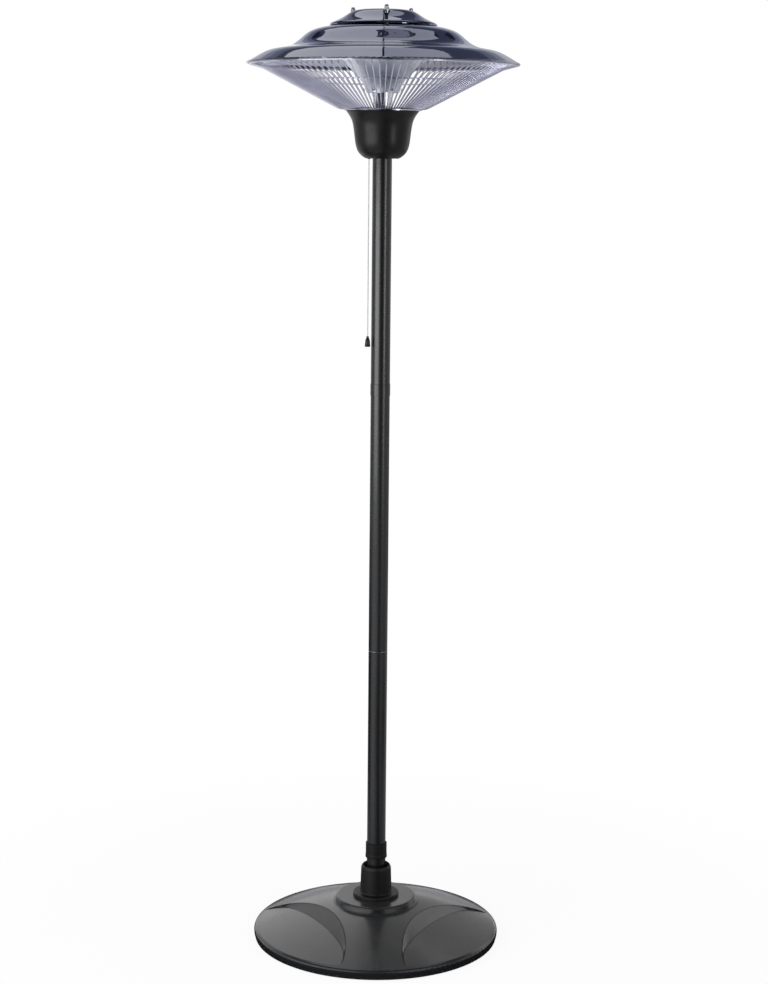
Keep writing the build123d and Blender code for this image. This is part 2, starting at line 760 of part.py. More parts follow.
with BuildPart() as tilt_pendulum:
    with BuildSketch(Plane.XZ.offset(-tilt_hub_length / 2)):
        with Locations((0, tilt_axis_height)):
            Circle(tilt_hub_radius)
    extrude(amount=tilt_hub_length)
    with BuildSketch(Plane.XY.offset(tilt_axis_height - tilt_bob_drop)):
        Circle(tilt_rod_radius)
    extrude(amount=tilt_bob_drop)
    with BuildSketch(Plane.XY.offset(tilt_axis_height - tilt_bob_drop - tilt_bob_radius / 2)):
        Circle(tilt_bob_radius)
    extrude(amount=tilt_bob_radius)
    with BuildSketch(Plane.XZ.offset(-tilt_hub_length)):
        with Locations((0, tilt_axis_height)):
            Circle(tilt_pin_radius + pivot_gap)
    extrude(amount=2 * tilt_hub_length, mode=Mode.SUBTRACT)
tilt_pendulum.part.label = "tilt_pendulum"
export_step(tilt_pendulum.part, "parts/tilt_pendulum.step")


# ---------------------------------------------------------------- foot of the pole
spigot_shoulder = lower_tube_bottom - seat_gap

with BuildPart() as foot_stub:
    with BuildSketch(Plane.XZ):
        with BuildLine():
            Polyline(
                (tube_bore, plateau_height + seat_gap),
                (stub_flange_radius, plateau_height + seat_gap),
                (stub_flange_radius, stub_flange_top),
                (neck_radius, stub_flange_top),
                (neck_radius, spigot_shoulder),
                (spigot_radius, spigot_shoulder),
                (spigot_radius, spigot_shoulder + stub_spigot_length),
                (spigot_radius - spigot_wall, spigot_shoulder + stub_spigot_length),
                (spigot_radius - spigot_wall, stub_flange_top),
                (tube_bore, stub_flange_top - tube_wall),
                close=True,
            )
        make_face()
    revolve(axis=Axis.Z)
    with BuildSketch(Plane.XY.offset(plateau_height)):
        with foot_bolt_places:
            Circle(foot_bolt_radius + hole_gap)
    extrude(amount=2 * stub_flange_thickness, mode=Mode.SUBTRACT)
foot_stub.part.label = "foot_stub"
export_step(foot_stub.part, "parts/foot_stub.step")

nut_seat = hub_top - hub_sheet - seat_gap
with BuildPart() as foot_bolts:
    with BuildSketch(Plane.XY.offset(stub_flange_top + seat_gap)):
        with foot_bolt_places:
            Circle(foot_bolt_head_radius)
    extrude(amount=foot_bolt_head_height)
    with BuildSketch(Plane.XY.offset(stub_flange_top + seat_gap)):
        with foot_bolt_places:
            Circle(foot_bolt_radius)
    extrude(amount=-(stub_flange_top - nut_seat + foot_nut_height))
foot_bolts.part.label = "foot_bolts"
export_step(foot_bolts.part, "parts/foot_bolts.step")

with BuildPart() as foot_nuts:
    with BuildSketch(Plane.XY.offset(nut_seat - foot_nut_height)):
        with foot_bolt_places:
            RegularPolygon(foot_nut_radius, 6)
            Circle(foot_bolt_radius + press_gap, mode=Mode.SUBTRACT)
    extrude(amount=foot_nut_height)
foot_nuts.part.label = "foot_nuts"
export_step(foot_nuts.part, "parts/foot_nuts.step")

cup_bottom = plateau_height + seat_gap
with BuildPart() as foot_cup:
    with BuildSketch(Plane.XZ) as cup_section:
        with BuildLine():
            Polyline(
                (cup_base_radius - cup_wall, cup_bottom),
                (cup_flange_radius, cup_bottom),
                (cup_flange_radius, cup_bottom + cup_flange_height),
                (cup_base_radius, cup_bottom + cup_flange_height),
                (cup_shoulder_radius, cup_shoulder_height),
            )
            ThreePointArc(
                (cup_shoulder_radius, cup_shoulder_height),
                ((cup_shoulder_radius + cup_top_radius + cup_wall / 2) / 2,
                 (cup_shoulder_height + cup_top_height) / 2 + cup_shoulder_bulge),
                (cup_top_radius, cup_top_height),
            )
            Polyline(
                (cup_top_radius, cup_top_height),
                (cup_top_radius - cup_wall, cup_shoulder_height),
                (cup_top_radius - cup_wall, cup_web_height + cup_web_thickness),
                (neck_radius + slide_gap, cup_web_height + cup_web_thickness),
                (neck_radius + slide_gap, cup_web_height),
                (cup_shoulder_radius - cup_wall, cup_web_height),
                (cup_base_radius - cup_wall + seat_gap, stub_flange_top + 2 * foot_bolt_head_height),
                (cup_base_radius - cup_wall + seat_gap, cup_bottom),
            )
        make_face()
    revolve(axis=Axis.Z)
    flange_top = cup_bottom + cup_flange_height
    fillet(foot_cup.edges().filter_by_position(Axis.Z, flange_top - pick_reach, flange_top + pick_reach),
           cup_flange_round)
foot_cup.part.label = "foot_cup"
export_step(foot_cup.part, "parts/foot_cup.step")

collar_screw_angles = [FRONT + 180 + index * 360 / collar_screw_count for index in range(collar_screw_count)]
with BuildPart() as locking_collar:
    with BuildSketch(Plane.XZ):
        with BuildLine():
            Polyline(
                (collar_bore, collar_bottom),
                (collar_lip_radius - collar_chamfer, collar_bottom),
                (collar_lip_radius, collar_bottom + collar_chamfer),
                (collar_lip_radius, collar_bottom + collar_lip_height - collar_chamfer),
                (collar_radius, collar_bottom + collar_lip_height),
                (collar_radius, collar_top - collar_chamfer),
                (collar_radius - collar_chamfer, collar_top),
                (collar_bore, collar_top),
                close=True,
            )
        make_face()
    revolve(axis=Axis.Z)
    for angle in collar_screw_angles:
        with BuildSketch(outward_plane(angle, 0, collar_screw_height)):
            Circle(collar_screw_radius + hole_gap)
        extrude(amount=2 * collar_radius, mode=Mode.SUBTRACT)
locking_collar.part.label = "locking_collar"
export_step(locking_collar.part, "parts/locking_collar.step")


# ---------------------------------------------------------------- pole
def rear_holes(heights):
    """Rods that cut the screw holes in the rear of the pole."""
    with BuildPart() as rods:
        for height in heights:
            with BuildSketch(outward_plane(-FRONT, 0, height)):
                Circle(pole_screw_radius + hole_gap)
            extrude(amount=2 * tube_radius)
    return rods.part


lower_screw_heights = [lower_joint_height - pole_screw_offset, lower_joint_height + pole_screw_offset]
upper_screw_heights = [upper_joint_height - sleeve_screw_offset, upper_joint_height + sleeve_screw_offset]

with BuildPart() as lower_tube:
    add(tube(tube_radius, tube_bore, lower_tube_bottom, lower_joint_height - seat_gap / 2))
    chamfer(lower_tube.edges().group_by(Axis.Z)[-1].sort_by(SortBy.LENGTH)[-1], joint_chamfer)
    add(rear_holes(lower_screw_heights[:1]), mode=Mode.SUBTRACT)
lower_tube.part.label = "lower_tube"
export_step(lower_tube.part, "parts/lower_tube.step")

with BuildPart() as lower_joint_spigot:
    add(tube(spigot_radius, spigot_radius - spigot_wall, lower_joint_height - spigot_half_length,
             lower_joint_height + spigot_half_length))
    add(rear_holes(lower_screw_heights), mode=Mode.SUBTRACT)
lower_joint_spigot.part.label = "lower_joint_spigot"
export_step(lower_joint_spigot.part, "parts/lower_joint_spigot.step")

with BuildPart() as middle_tube:
    add(tube(tube_radius, tube_bore, lower_joint_height + seat_gap / 2, upper_joint_height - seat_gap / 2))
    chamfer(middle_tube.edges().group_by(Axis.Z)[0].sort_by(SortBy.LENGTH)[-1], joint_chamfer)
    add(rear_holes([lower_screw_heights[1], upper_screw_heights[0]]), mode=Mode.SUBTRACT)
middle_tube.part.label = "middle_tube"
export_step(middle_tube.part, "parts/middle_tube.step")

with BuildPart() as upper_joint_spigot:
    add(tube(spigot_radius, spigot_radius - spigot_wall, upper_joint_height - spigot_half_length,
             upper_joint_height + spigot_half_length))
    add(rear_holes(upper_screw_heights), mode=Mode.SUBTRACT)
upper_joint_spigot.part.label = "upper_joint_spigot"
export_step(upper_joint_spigot.part, "parts/upper_joint_spigot.step")

with BuildPart() as upper_joint_sleeve:
    add(tube(sleeve_radius, tube_radius + press_gap, upper_joint_height - sleeve_half_length,
             upper_joint_height + sleeve_half_length))
    fillet(upper_joint_sleeve.edges().filter_by(GeomType.CIRCLE).sort_by(SortBy.LENGTH)[-2:], joint_chamfer)
upper_joint_sleeve.part.label = "upper_joint_sleeve"
export_step(upper_joint_sleeve.part, "parts/upper_joint_sleeve.step")

with BuildPart() as upper_tube:
    add(tube(tube_radius, tube_bore, upper_joint_height + seat_gap / 2, upper_tube_top))
    add(rear_holes(upper_screw_heights[1:]), mode=Mode.SUBTRACT)
upper_tube.part.label = "upper_tube"
export_step(upper_tube.part, "parts/upper_tube.step")

clamp_bottom = bowl_bottom + bowl_floor + seat_gap
clamp_screw_height = clamp_bottom + clamp_height / 2
clamp_screw_angles = [FRONT + index * 360 / clamp_screw_count for index in range(clamp_screw_count)]

with BuildPart() as pole_screws:
    for height in lower_screw_heights + upper_screw_heights:
        with BuildSketch(outward_plane(-FRONT, tube_radius + seat_gap, height)):
            Circle(pole_screw_head_radius)
        extrude(amount=pole_screw_head_height)
        with BuildSketch(outward_plane(-FRONT, tube_radius + seat_gap, height)):
            Circle(pole_screw_radius)
        extrude(amount=-(tube_wall + spigot_wall + slide_gap))
    for angle in collar_screw_angles:
        with BuildSketch(outward_plane(angle, tube_radius + press_gap, collar_screw_height)):
            Circle(collar_screw_radius)
        extrude(amount=collar_radius - tube_radius)
    for angle in clamp_screw_angles:
        with BuildSketch(outward_plane(angle, tube_radius + press_gap, clamp_screw_height)):
            Circle(clamp_screw_radius)
        extrude(amount=clamp_radius - tube_radius)
pole_screws.part.label = "pole_screws"
export_step(pole_screws.part, "parts/pole_screws.step")


# ---------------------------------------------------------------- bowl and what it holds
boss_places = PolarLocations(bowl_boss_circle_radius, bowl_boss_count, start_angle=bowl_boss_first_angle)
boss_bottom = bowl_lip_top - bowl_boss_drop

with BuildPart() as bowl:
    with BuildSketch(Plane.XZ):
        inner_wall = moved_sideways(bowl_profile, -bowl_wall)
        floor_start = (bowl_profile[0][0] - bowl_wall, bowl_bottom + bowl_floor)
        with BuildLine():
            Line((tube_radius + slide_gap, bowl_bottom), bowl_profile[0])
            Spline(*bowl_profile)
            Polyline(bowl_profile[-1], (bowl_lip_radius, bowl_lip_top),
                     (bowl_lip_radius - bowl_wall, bowl_lip_top), inner_wall[-1])
            Spline(*reversed([floor_start] + inner_wall[1:]))
            Polyline(floor_start, (tube_radius + slide_gap, bowl_bottom + bowl_floor),
                     (tube_radius + slide_gap, bowl_bottom))
        make_face()
    revolve(axis=Axis.Z)
    with BuildSketch(Plane.XY.offset(boss_bottom)):
        with boss_places:
            Circle(bowl_boss_radius)
    extrude(amount=bowl_boss_drop)
    with BuildSketch(Plane.XY.offset(boss_bottom)):
        with boss_places:
            Circle(plate_screw_radius + press_gap)
    extrude(amount=2 * bowl_boss_drop, mode=Mode.SUBTRACT)
    with BuildSketch(Plane.XY.offset(bowl_bottom - bowl_floor)):
        with Locations((cord_x, cord_y)):
            Circle(eyelet_body_radius + press_gap)
    extrude(amount=3 * bowl_floor, mode=Mode.SUBTRACT)
bowl.part.label = "bowl"
export_step(bowl.part, "parts/bowl.step")

with BuildPart() as bowl_clamp:
    add(tube(clamp_radius, tube_radius + press_gap, clamp_bottom, clamp_bottom + clamp_height))
    for angle in clamp_screw_angles:
        with BuildSketch(outward_plane(angle, 0, clamp_screw_height)):
            Circle(clamp_screw_radius + hole_gap)
        extrude(amount=2 * clamp_radius, mode=Mode.SUBTRACT)
bowl_clamp.part.label = "bowl_clamp"
export_step(bowl_clamp.part, "parts/bowl_clamp.step")

pillar_screw_places = PolarLocations(pillar_screw_circle_radius, pillar_screw_count,
                                     start_angle=pillar_screw_first_angle)
lead_places = PolarLocations(lead_circle_radius, lead_count, start_angle=lead_first_angle)

with BuildPart() as bowl_top_plate:
    with BuildSketch(Plane.XY.offset(head_plate_bottom)):
        Circle(head_plate_radius)
        with boss_places:
            Circle(plate_screw_radius + hole_gap, mode=Mode.SUBTRACT)
        with pillar_screw_places:
            Circle(plate_screw_radius + hole_gap, mode=Mode.SUBTRACT)
        with lead_places:
            Circle(lead_radius + hole_gap, mode=Mode.SUBTRACT)
    extrude(amount=head_plate_thickness)
bowl_top_plate.part.label = "bowl_top_plate"
export_step(bowl_top_plate.part, "parts/bowl_top_plate.step")

pillar_flange_top = pillar_bottom + pillar_flange_thickness
with BuildPart() as plate_screws:
    with BuildSketch(Plane.XY.offset(head_plate_top + seat_gap)):
        with boss_places:
            Circle(plate_screw_head_radius)
    extrude(amount=plate_screw_head_height)
    with BuildSketch(Plane.XY.offset(head_plate_top + seat_gap)):
        with boss_places:
            Circle(plate_screw_radius)
    extrude(amount=-bowl_boss_drop / 2)
    with BuildSketch(Plane.XY.offset(pillar_flange_top + seat_gap)):
        with pillar_screw_places:
            Circle(plate_screw_head_radius)
    extrude(amount=plate_screw_head_height)
    with BuildSketch(Plane.XY.offset(pillar_flange_top + seat_gap)):
        with pillar_screw_places:
            Circle(plate_screw_radius)
    extrude(amount=-2 * (pillar_flange_thickness + head_plate_thickness))
plate_screws.part.label = "plate_screws"
export_step(plate_screws.part, "parts/plate_screws.step")

with BuildPart() as terminal_block:
    with BuildSketch(Plane.XY.offset(head_plate_bottom - seat_gap)):
        with Locations((terminal_offset, 0)):
            Rectangle(terminal_width, terminal_length)
    extrude(amount=-terminal_height)
    with BuildSketch(Plane.YZ.offset(terminal_offset - terminal_width)):
        with Locations((0, head_plate_bottom - terminal_height / 2)):
            with GridLocations(terminal_length / terminal_ways, 1, terminal_ways, 1):
                Circle(terminal_hole_radius)
    extrude(amount=2 * terminal_width, mode=Mode.SUBTRACT)
terminal_block.part.label = "terminal_block"
export_step(terminal_block.part, "parts/terminal_block.step")

with BuildPart() as thermal_cutout:
    with BuildSketch(Plane.XY.offset(head_plate_bottom - seat_gap)):
        with Locations((0, cutout_offset)):
            Circle(cutout_radius)
    extrude(amount=-cutout_height)
    fillet(thermal_cutout.edges().group_by(Axis.Z)[0], cutout_round)
thermal_cutout.part.label = "thermal_cutout"
export_step(thermal_cutout.part, "parts/thermal_cutout.step")


# ---------------------------------------------------------------- pull switch and cord
pin_y = cord_y + lever_arm
cheek_inner = lever_width / 2 + switch_cheek_gap
cheek_outer = cheek_inner + switch_cheek_sheet
case_middle_y = pin_y + switch_body_start + switch_body_length / 2
cheek_rear = pin_y + switch_body_start + switch_cheek_lap
cheek_front = pin_y - switch_cheek_front
spring_start = cord_x + lever_width / 2 - spring_length

with BuildPart() as switch_case:
    with BuildSketch(Plane.XY.offset(lever_height - switch_drop)):
        with Locations((cord_x, case_middle_y)):
            Rectangle(2 * cheek_outer, switch_body_length)
        for side in (-1, 1):
            with Locations((cord_x + side * (cheek_inner + cheek_outer) / 2, (cheek_front + cheek_rear) / 2)):
                Rectangle(switch_cheek_sheet, cheek_rear - cheek_front)
    extrude(amount=head_plate_bottom - seat_gap - lever_height + switch_drop)
    with BuildSketch(Plane.YZ.offset(cord_x - 2 * cheek_outer)):
        with Locations((pin_y, lever_height)):
            Circle(lever_pin_radius + press_gap)
    extrude(amount=4 * cheek_outer, mode=Mode.SUBTRACT)
switch_case.part.label = "switch_case"
export_step(switch_case.part, "parts/switch_case.step")

with BuildPart() as switch_lever_pin:
    with BuildSketch(Plane.YZ.offset(cord_x - cheek_outer)):
        with Locations((pin_y, lever_height)):
            Circle(lever_pin_radius)
    extrude(amount=2 * cheek_outer)
switch_lever_pin.part.label = "switch_lever_pin"
export_step(switch_lever_pin.part, "parts/switch_lever_pin.step")

with BuildPart() as switch_spring:
    with BuildSketch(Plane.YZ.offset(spring_start + seat_gap)):
        with Locations((pin_y, lever_height)):
            Circle(spring_radius)
            Circle(lever_pin_radius + pivot_gap, mode=Mode.SUBTRACT)
    extrude(amount=spring_length)
switch_spring.part.label = "switch_spring"
export_step(switch_spring.part, "parts/switch_spring.step")

lever_hub_length = lever_width - spring_length - switch_cheek_gap
with BuildPart() as switch_lever:
    with BuildSketch(Plane.YZ.offset(cord_x - lever_width / 2)):
        with Locations((pin_y, lever_height)):
            Circle(lever_hub_radius)
    extrude(amount=lever_hub_length)
    lever_length = lever_arm + lever_overhang
    with BuildSketch(Plane.XY.offset(lever_height - lever_thickness / 2)):
        with Locations((cord_x, pin_y - lever_length / 2 - lever_hub_radius / 2)):
            Rectangle(lever_width, lever_length - lever_hub_radius)
        with Locations((cord_x, cord_y - lever_overhang)):
            SlotCenterToCenter(4 * lever_overhang, lever_slot, rotation=90, mode=Mode.SUBTRACT)
        with Locations((cord_x - (lever_width - lever_hub_length) / 2, pin_y - lever_hub_radius / 2)):
            Rectangle(lever_hub_length, lever_hub_radius)
    extrude(amount=lever_thickness)
    with BuildSketch(Plane.YZ.offset(cord_x - lever_width)):
        with Locations((pin_y, lever_height)):
            Circle(lever_pin_radius + pivot_gap)
    extrude(amount=2 * lever_width, mode=Mode.SUBTRACT)
switch_lever.part.label = "switch_lever"
export_step(switch_lever.part, "parts/switch_lever.step")

with BuildPart() as cord_eyelet:
    with BuildSketch(Plane.XY.offset(bowl_bottom - seat_gap)):
        with Locations((cord_x, cord_y)):
            Circle(eyelet_flange_radius)
            Circle(eyelet_bore_radius, mode=Mode.SUBTRACT)
    extrude(amount=-eyelet_flange_height)
    with BuildSketch(Plane.XY.offset(bowl_bottom - seat_gap)):
        with Locations((cord_x, cord_y)):
            Circle(eyelet_body_radius)
            Circle(eyelet_bore_radius, mode=Mode.SUBTRACT)
    extrude(amount=bowl_floor + 2 * seat_gap)
cord_eyelet.part.label = "cord_eyelet"
export_step(cord_eyelet.part, "parts/cord_eyelet.step")

ball_height = lever_height + lever_thickness / 2 + hook_ball_gap + hook_ball_radius
hook_bottom = bowl_bottom + bowl_floor + pull_travel + hook_floor_gap
with BuildPart() as cord_hook:
    with BuildSketch(Plane.XY.offset(hook_bottom)):
        with Locations((cord_x, cord_y)):
            Circle(cord_radius)
    extrude(amount=ball_height - hook_bottom)
    with Locations((cord_x, cord_y, ball_height)):
        Sphere(hook_ball_radius)
cord_hook.part.label = "cord_hook"
export_step(cord_hook.part, "parts/cord_hook.step")

with BuildPart() as pull_cord:
    with BuildSketch(Plane.XY.offset(knob_top)):
        with Locations((cord_x, cord_y)):
            Circle(cord_radius)
    extrude(amount=hook_bottom - knob_top)
pull_cord.part.label = "pull_cord"
export_step(pull_cord.part, "parts/pull_cord.step")

knob_bottom = knob_top - knob_height
with BuildPart() as pull_knob:
    with BuildSketch(Plane.XZ):
        with BuildLine():
            Polyline(
                (0, knob_top),
                (knob_top_radius - knob_top_chamfer, knob_top),
                (knob_top_radius, knob_top - knob_top_chamfer),
                (knob_top_radius, knob_top - knob_shoulder / 2),
            )
            Spline(
                (knob_top_radius, knob_top - knob_shoulder / 2),
                ((knob_top_radius + knob_bottom_radius) / 2, knob_top - knob_shoulder),
                (knob_bottom_radius - knob_waist_inset, knob_bottom + knob_shoulder / 2),
                (knob_bottom_radius, knob_bottom + knob_bottom_chamfer),
            )
            Polyline(
                (knob_bottom_radius, knob_bottom + knob_bottom_chamfer),
                (knob_bottom_radius - knob_bottom_chamfer, knob_bottom),
                (0, knob_bottom),
                (0, knob_top),
            )
        make_face()
    revolve(axis=Axis.Z)
pull_knob.part = pull_knob.part.move(Location((cord_x, cord_y, 0)))
pull_knob.part.label = "pull_knob"
export_step(pull_knob.part, "parts/pull_knob.step")


# ---------------------------------------------------------------- pillar and cage
with BuildPart() as pillar:
    add(tube(pillar_radius, pillar_radius - pillar_wall, pillar_bottom, pillar_top))
    add(tube(pillar_flange_radius, pillar_radius - pillar_wall, pillar_bottom, pillar_flange_top))
    with BuildSketch(Plane.XY.offset(pillar_bottom)):
        with pillar_screw_places:
            Circle(plate_screw_radius + hole_gap)
    extrude(amount=pillar_flange_thickness, mode=Mode.SUBTRACT)
pillar.part.label = "pillar"
export_step(pillar.part, "parts/pillar.step")

with BuildPart() as pillar_leads:
    with BuildSketch(Plane.XY.offset(head_plate_bottom - terminal_height)):
        with lead_places:
            Circle(lead_radius)
    extrude(amount=pillar_top - head_plate_bottom + terminal_height)
pillar_leads.part.label = "pillar_leads"
export_step(pillar_leads.part, "parts/pillar_leads.step")

cage_wire_end = cage_bottom_ring_circle_radius + cage_ring_radius + wire_gap
with BuildPart() as first_wire:
    with BuildLine(Plane.XZ) as wire_path:
        FilletPolyline(
            (cage_wire_end, cage_foot_height),
            (cage_foot_radius, cage_foot_height),
            (cage_knee_radius, cage_knee_height),
            (cage_rim_radius, cage_rim_height),
            radius=[cage_foot_bend, cage_knee_bend],
        )
    with BuildSketch(Plane.YZ.offset(cage_wire_end)):
        with Locations((0, cage_foot_height)):
            Circle(cage_wire_radius)
    sweep(path=wire_path.wire())

with BuildPart() as cage_wires:
    with PolarLocations(0, cage_wire_count, start_angle=FRONT + 180 / cage_wire_count):
        add(first_wire.part.solid())
cage_wires.part.label = "cage_wires"
export_step(cage_wires.part, "parts/cage_wires.step")


def wire_ring(circle_radius, height):
    """Closed ring of round wire around the main axis."""
    with BuildPart() as ring:
        with BuildSketch(Plane.XZ):
            with Locations((circle_radius, height)):
                Circle(cage_ring_radius)
        revolve(axis=Axis.Z)
    return ring.part


rim_slope = math.atan2(cage_rim_height - cage_knee_height, cage_rim_radius - cage_knee_radius)
rim_reach = cage_ring_radius + wire_gap
outer_ring_circle = cage_rim_radius + rim_reach * math.cos(rim_slope)
outer_ring_height = cage_rim_height + rim_reach * math.sin(rim_slope)
cage_outer_ring = wire_ring(outer_ring_circle, outer_ring_height)
cage_outer_ring.label = "cage_outer_ring"
export_step(cage_outer_ring, "parts/cage_outer_ring.step")

cage_bottom_ring = wire_ring(cage_bottom_ring_circle_radius, cage_foot_height)
cage_bottom_ring.label = "cage_bottom_ring"
export_step(cage_bottom_ring, "parts/cage_bottom_ring.step")

cage_slope = math.atan2(cage_knee_height - cage_foot_height, cage_knee_radius - cage_foot_radius)
ring_offset = cage_wire_radius + cage_ring_radius + wire_gap
mid_wire_height = cage_foot_height + (cage_mid_ring_circle_radius - cage_foot_radius) * math.tan(cage_slope)
cage_mid_ring = wire_ring(cage_mid_ring_circle_radius - ring_offset * math.sin(cage_slope),
                          mid_wire_height + ring_offset * math.cos(cage_slope))
cage_mid_ring.label = "cage_mid_ring"
export_step(cage_mid_ring, "parts/cage_mid_ring.step")


# ---------------------------------------------------------------- shade, reflector and funnel
with BuildPart() as shade_shell:
    add(sheet_face(shade_profile, shade_sheet))
    revolve(axis=Axis.Z)
    with BuildSketch(Plane.XY.offset(shade_top - shade_sheet)):
        Circle(shade_top_radius)
        Circle(shade_vent_radius, mode=Mode.SUBTRACT)
        with PolarLocations(stud_circle_radius, stud_count, start_angle=stud_first_angle):
            Circle(stud_radius + hole_gap, mode=Mode.SUBTRACT)
    extrude(amount=shade_sheet)
    with BuildSketch(Plane.XZ):
        with Locations((rim_radius - rim_bead_radius, rim_bead_height)):
            Circle(rim_bead_radius)
    revolve(axis=Axis.Z)
shade_shell.part.label = "shade_shell"
export_step(shade_shell.part, "parts/shade_shell.step")

reflector_spacer_places = PolarLocations(reflector_spacer_circle_radius, stud_count, 
                                         start_angle=stud_first_angle + reflector_spacer_turn_angle)
with BuildPart() as reflector_dish:
    add(sheet_face(dish_profile, dish_sheet))
    revolve(axis=Axis.Z)
    add(tube(dish_sleeve_radius + dish_sheet, dish_sleeve_radius, dish_sleeve_bottom, dish_sleeve_top))
    with BuildSketch(Plane.XY.offset(dish_profile[1][1] - dish_cut_reach)):
        with reflector_spacer_places:
            Circle(reflector_spacer_bore_radius)
    extrude(amount=2 * dish_cut_reach, mode=Mode.SUBTRACT)
reflector_dish.part.label = "reflector_dish"
export_step(reflector_dish.part, "parts/reflector_dish.step")

with BuildPart() as centre_funnel:
    add(sheet_face(funnel_profile, -funnel_sheet))
    revolve(axis=Axis.Z)
    add(tube(funnel_foot_radius, pillar_radius + slide_gap, funnel_bottom - funnel_sheet,
             funnel_bottom + press_gap))
centre_funnel.part.label = "centre_funnel"
export_step(centre_funnel.part, "parts/centre_funnel.step")

funnel_screw_step = 360 / funnel_screw_count
funnel_screw_angles = [FRONT + (index + 0.5) * funnel_screw_step for index in range(funnel_screw_count)]
wall_run = (funnel_profile[1][0] - funnel_foot_radius) / (funnel_profile[1][1] - funnel_bottom)
funnel_screw_seat = funnel_foot_radius + funnel_screw_rise * wall_run + funnel_screw_stand_off
with BuildPart() as funnel_screws:
    for angle in funnel_screw_angles:
        turn = math.radians(angle)
        seat = Vector(funnel_screw_seat * math.cos(turn), funnel_screw_seat * math.sin(turn),
                      funnel_screw_height)
        lean = math.radians(90 - funnel_screw_slope_angle)
        facing = Vector(math.cos(turn) * math.cos(lean), math.sin(turn) * math.cos(lean), -math.sin(lean))
        with BuildSketch(Plane(origin=seat, z_dir=facing)):
            Circle(funnel_screw_head_radius)
        extrude(amount=funnel_screw_head_radius / 2)
    fillet(funnel_screws.edges().filter_by(GeomType.CIRCLE), funnel_screw_head_radius / 5)
funnel_screws.part.label = "funnel_screws"
export_step(funnel_screws.part, "parts/funnel_screws.step")

clip_angles = [clip_first_angle + index * 360 / clip_count for index in range(clip_count)]
clip_tab_bottom = outer_ring_height - cage_ring_radius - seat_gap - clip_sheet
clip_back = cage_rim_radius - cage_ring_radius - clip_sheet - clip_wire_gap
clip_top = profile_height(shade_profile, clip_back + clip_sheet) - 2 * shade_sheet
with BuildPart() as cage_clips:
    for angle in clip_angles:
        with BuildSketch(radial_plane(angle)):
            with BuildLine():
                Polyline(
                    (clip_back, clip_tab_bottom),
                    (clip_back + clip_tab, clip_tab_bottom),
                    (clip_back + clip_tab, clip_tab_bottom + clip_sheet),
                    (clip_back + clip_sheet, clip_tab_bottom + clip_sheet),
                    (clip_back + clip_sheet, clip_top),
                    (clip_back, clip_top),
                    close=True,
                )
            make_face()
        extrude(amount=clip_width / 2, both=True)
cage_clips.part.label = "cage_clips"
export_step(cage_clips.part, "parts/cage_clips.step")


# ---------------------------------------------------------------- hub, cap and its fixings
stud_places = PolarLocations(stud_circle_radius, stud_count, start_angle=stud_first_angle)
with BuildPart() as hub_plate:
    with BuildSketch(Plane.XY.offset(hub_plate_bottom)):
        Circle(hub_plate_radius)
        with stud_places:
            Circle(stud_radius + hole_gap, mode=Mode.SUBTRACT)
        with reflector_spacer_places:
            Circle(reflector_spacer_bore_radius, mode=Mode.SUBTRACT)
        with PolarLocations(hub_vent_circle_radius, hub_vent_count):
            Circle(hub_vent_radius, mode=Mode.SUBTRACT)
    extrude(amount=hub_plate_thickness)
hub_plate.part.label = "hub_plate"
export_step(hub_plate.part, "parts/hub_plate.step")

spacer_bottom = dish_profile[1][1] + reflector_spacer_dish_gap
with BuildPart() as reflector_spacers:
    with BuildSketch(Plane.XY.offset(spacer_bottom)):
        with reflector_spacer_places:
            Circle(reflector_spacer_radius)
            Circle(reflector_spacer_bore_radius, mode=Mode.SUBTRACT)
    extrude(amount=hub_plate_bottom - seat_gap - spacer_bottom)
reflector_spacers.part.label = "reflector_spacers"
export_step(reflector_spacers.part, "parts/reflector_spacers.step")

cap_seat = cap_dimple_height - cap_sheet
with BuildPart() as top_cap:
    add(sheet_face(cap_profile, cap_sheet))
    revolve(axis=Axis.Z)
    with BuildSketch(Plane.XY.offset(cap_dimple_height)):
        with stud_places:
            Circle(cap_dimple_radius)
    extrude(amount=2 * cap_dimple_radius, mode=Mode.SUBTRACT)
    with BuildSketch(Plane.XY.offset(cap_seat)):
        with stud_places:
            Circle(cap_dimple_radius)
    extrude(amount=-2 * cap_dimple_radius, mode=Mode.SUBTRACT)
    with BuildSketch(Plane.XY.offset(cap_seat)):
        with stud_places:
            Circle(cap_dimple_radius)
    extrude(amount=cap_sheet)
    with BuildSketch(Plane.XY.offset(cap_seat - cap_sheet)):
        with stud_places:
            Circle(stud_radius + hole_gap)
    extrude(amount=4 * cap_sheet, mode=Mode.SUBTRACT)
top_cap.part.label = "top_cap"
export_step(top_cap.part, "parts/top_cap.step")

with BuildPart() as cap_spacers:
    with BuildSketch(Plane.XY.offset(shade_top + seat_gap)):
        with stud_places:
            Circle(stud_spacer_radius)
            Circle(stud_radius + hole_gap, mode=Mode.SUBTRACT)
    extrude(amount=cap_seat - shade_top - 2 * seat_gap)
cap_spacers.part.label = "cap_spacers"
export_step(cap_spacers.part, "parts/cap_spacers.step")

washer_bottom = cap_dimple_height + seat_gap
nut_bottom = washer_bottom + washer_thickness + seat_gap
with BuildPart() as cap_washers:
    with BuildSketch(Plane.XY.offset(washer_bottom)):
        with stud_places:
            Circle(washer_radius)
            Circle(stud_radius + hole_gap, mode=Mode.SUBTRACT)
    extrude(amount=washer_thickness)
cap_washers.part.label = "cap_washers"
export_step(cap_washers.part, "parts/cap_washers.step")

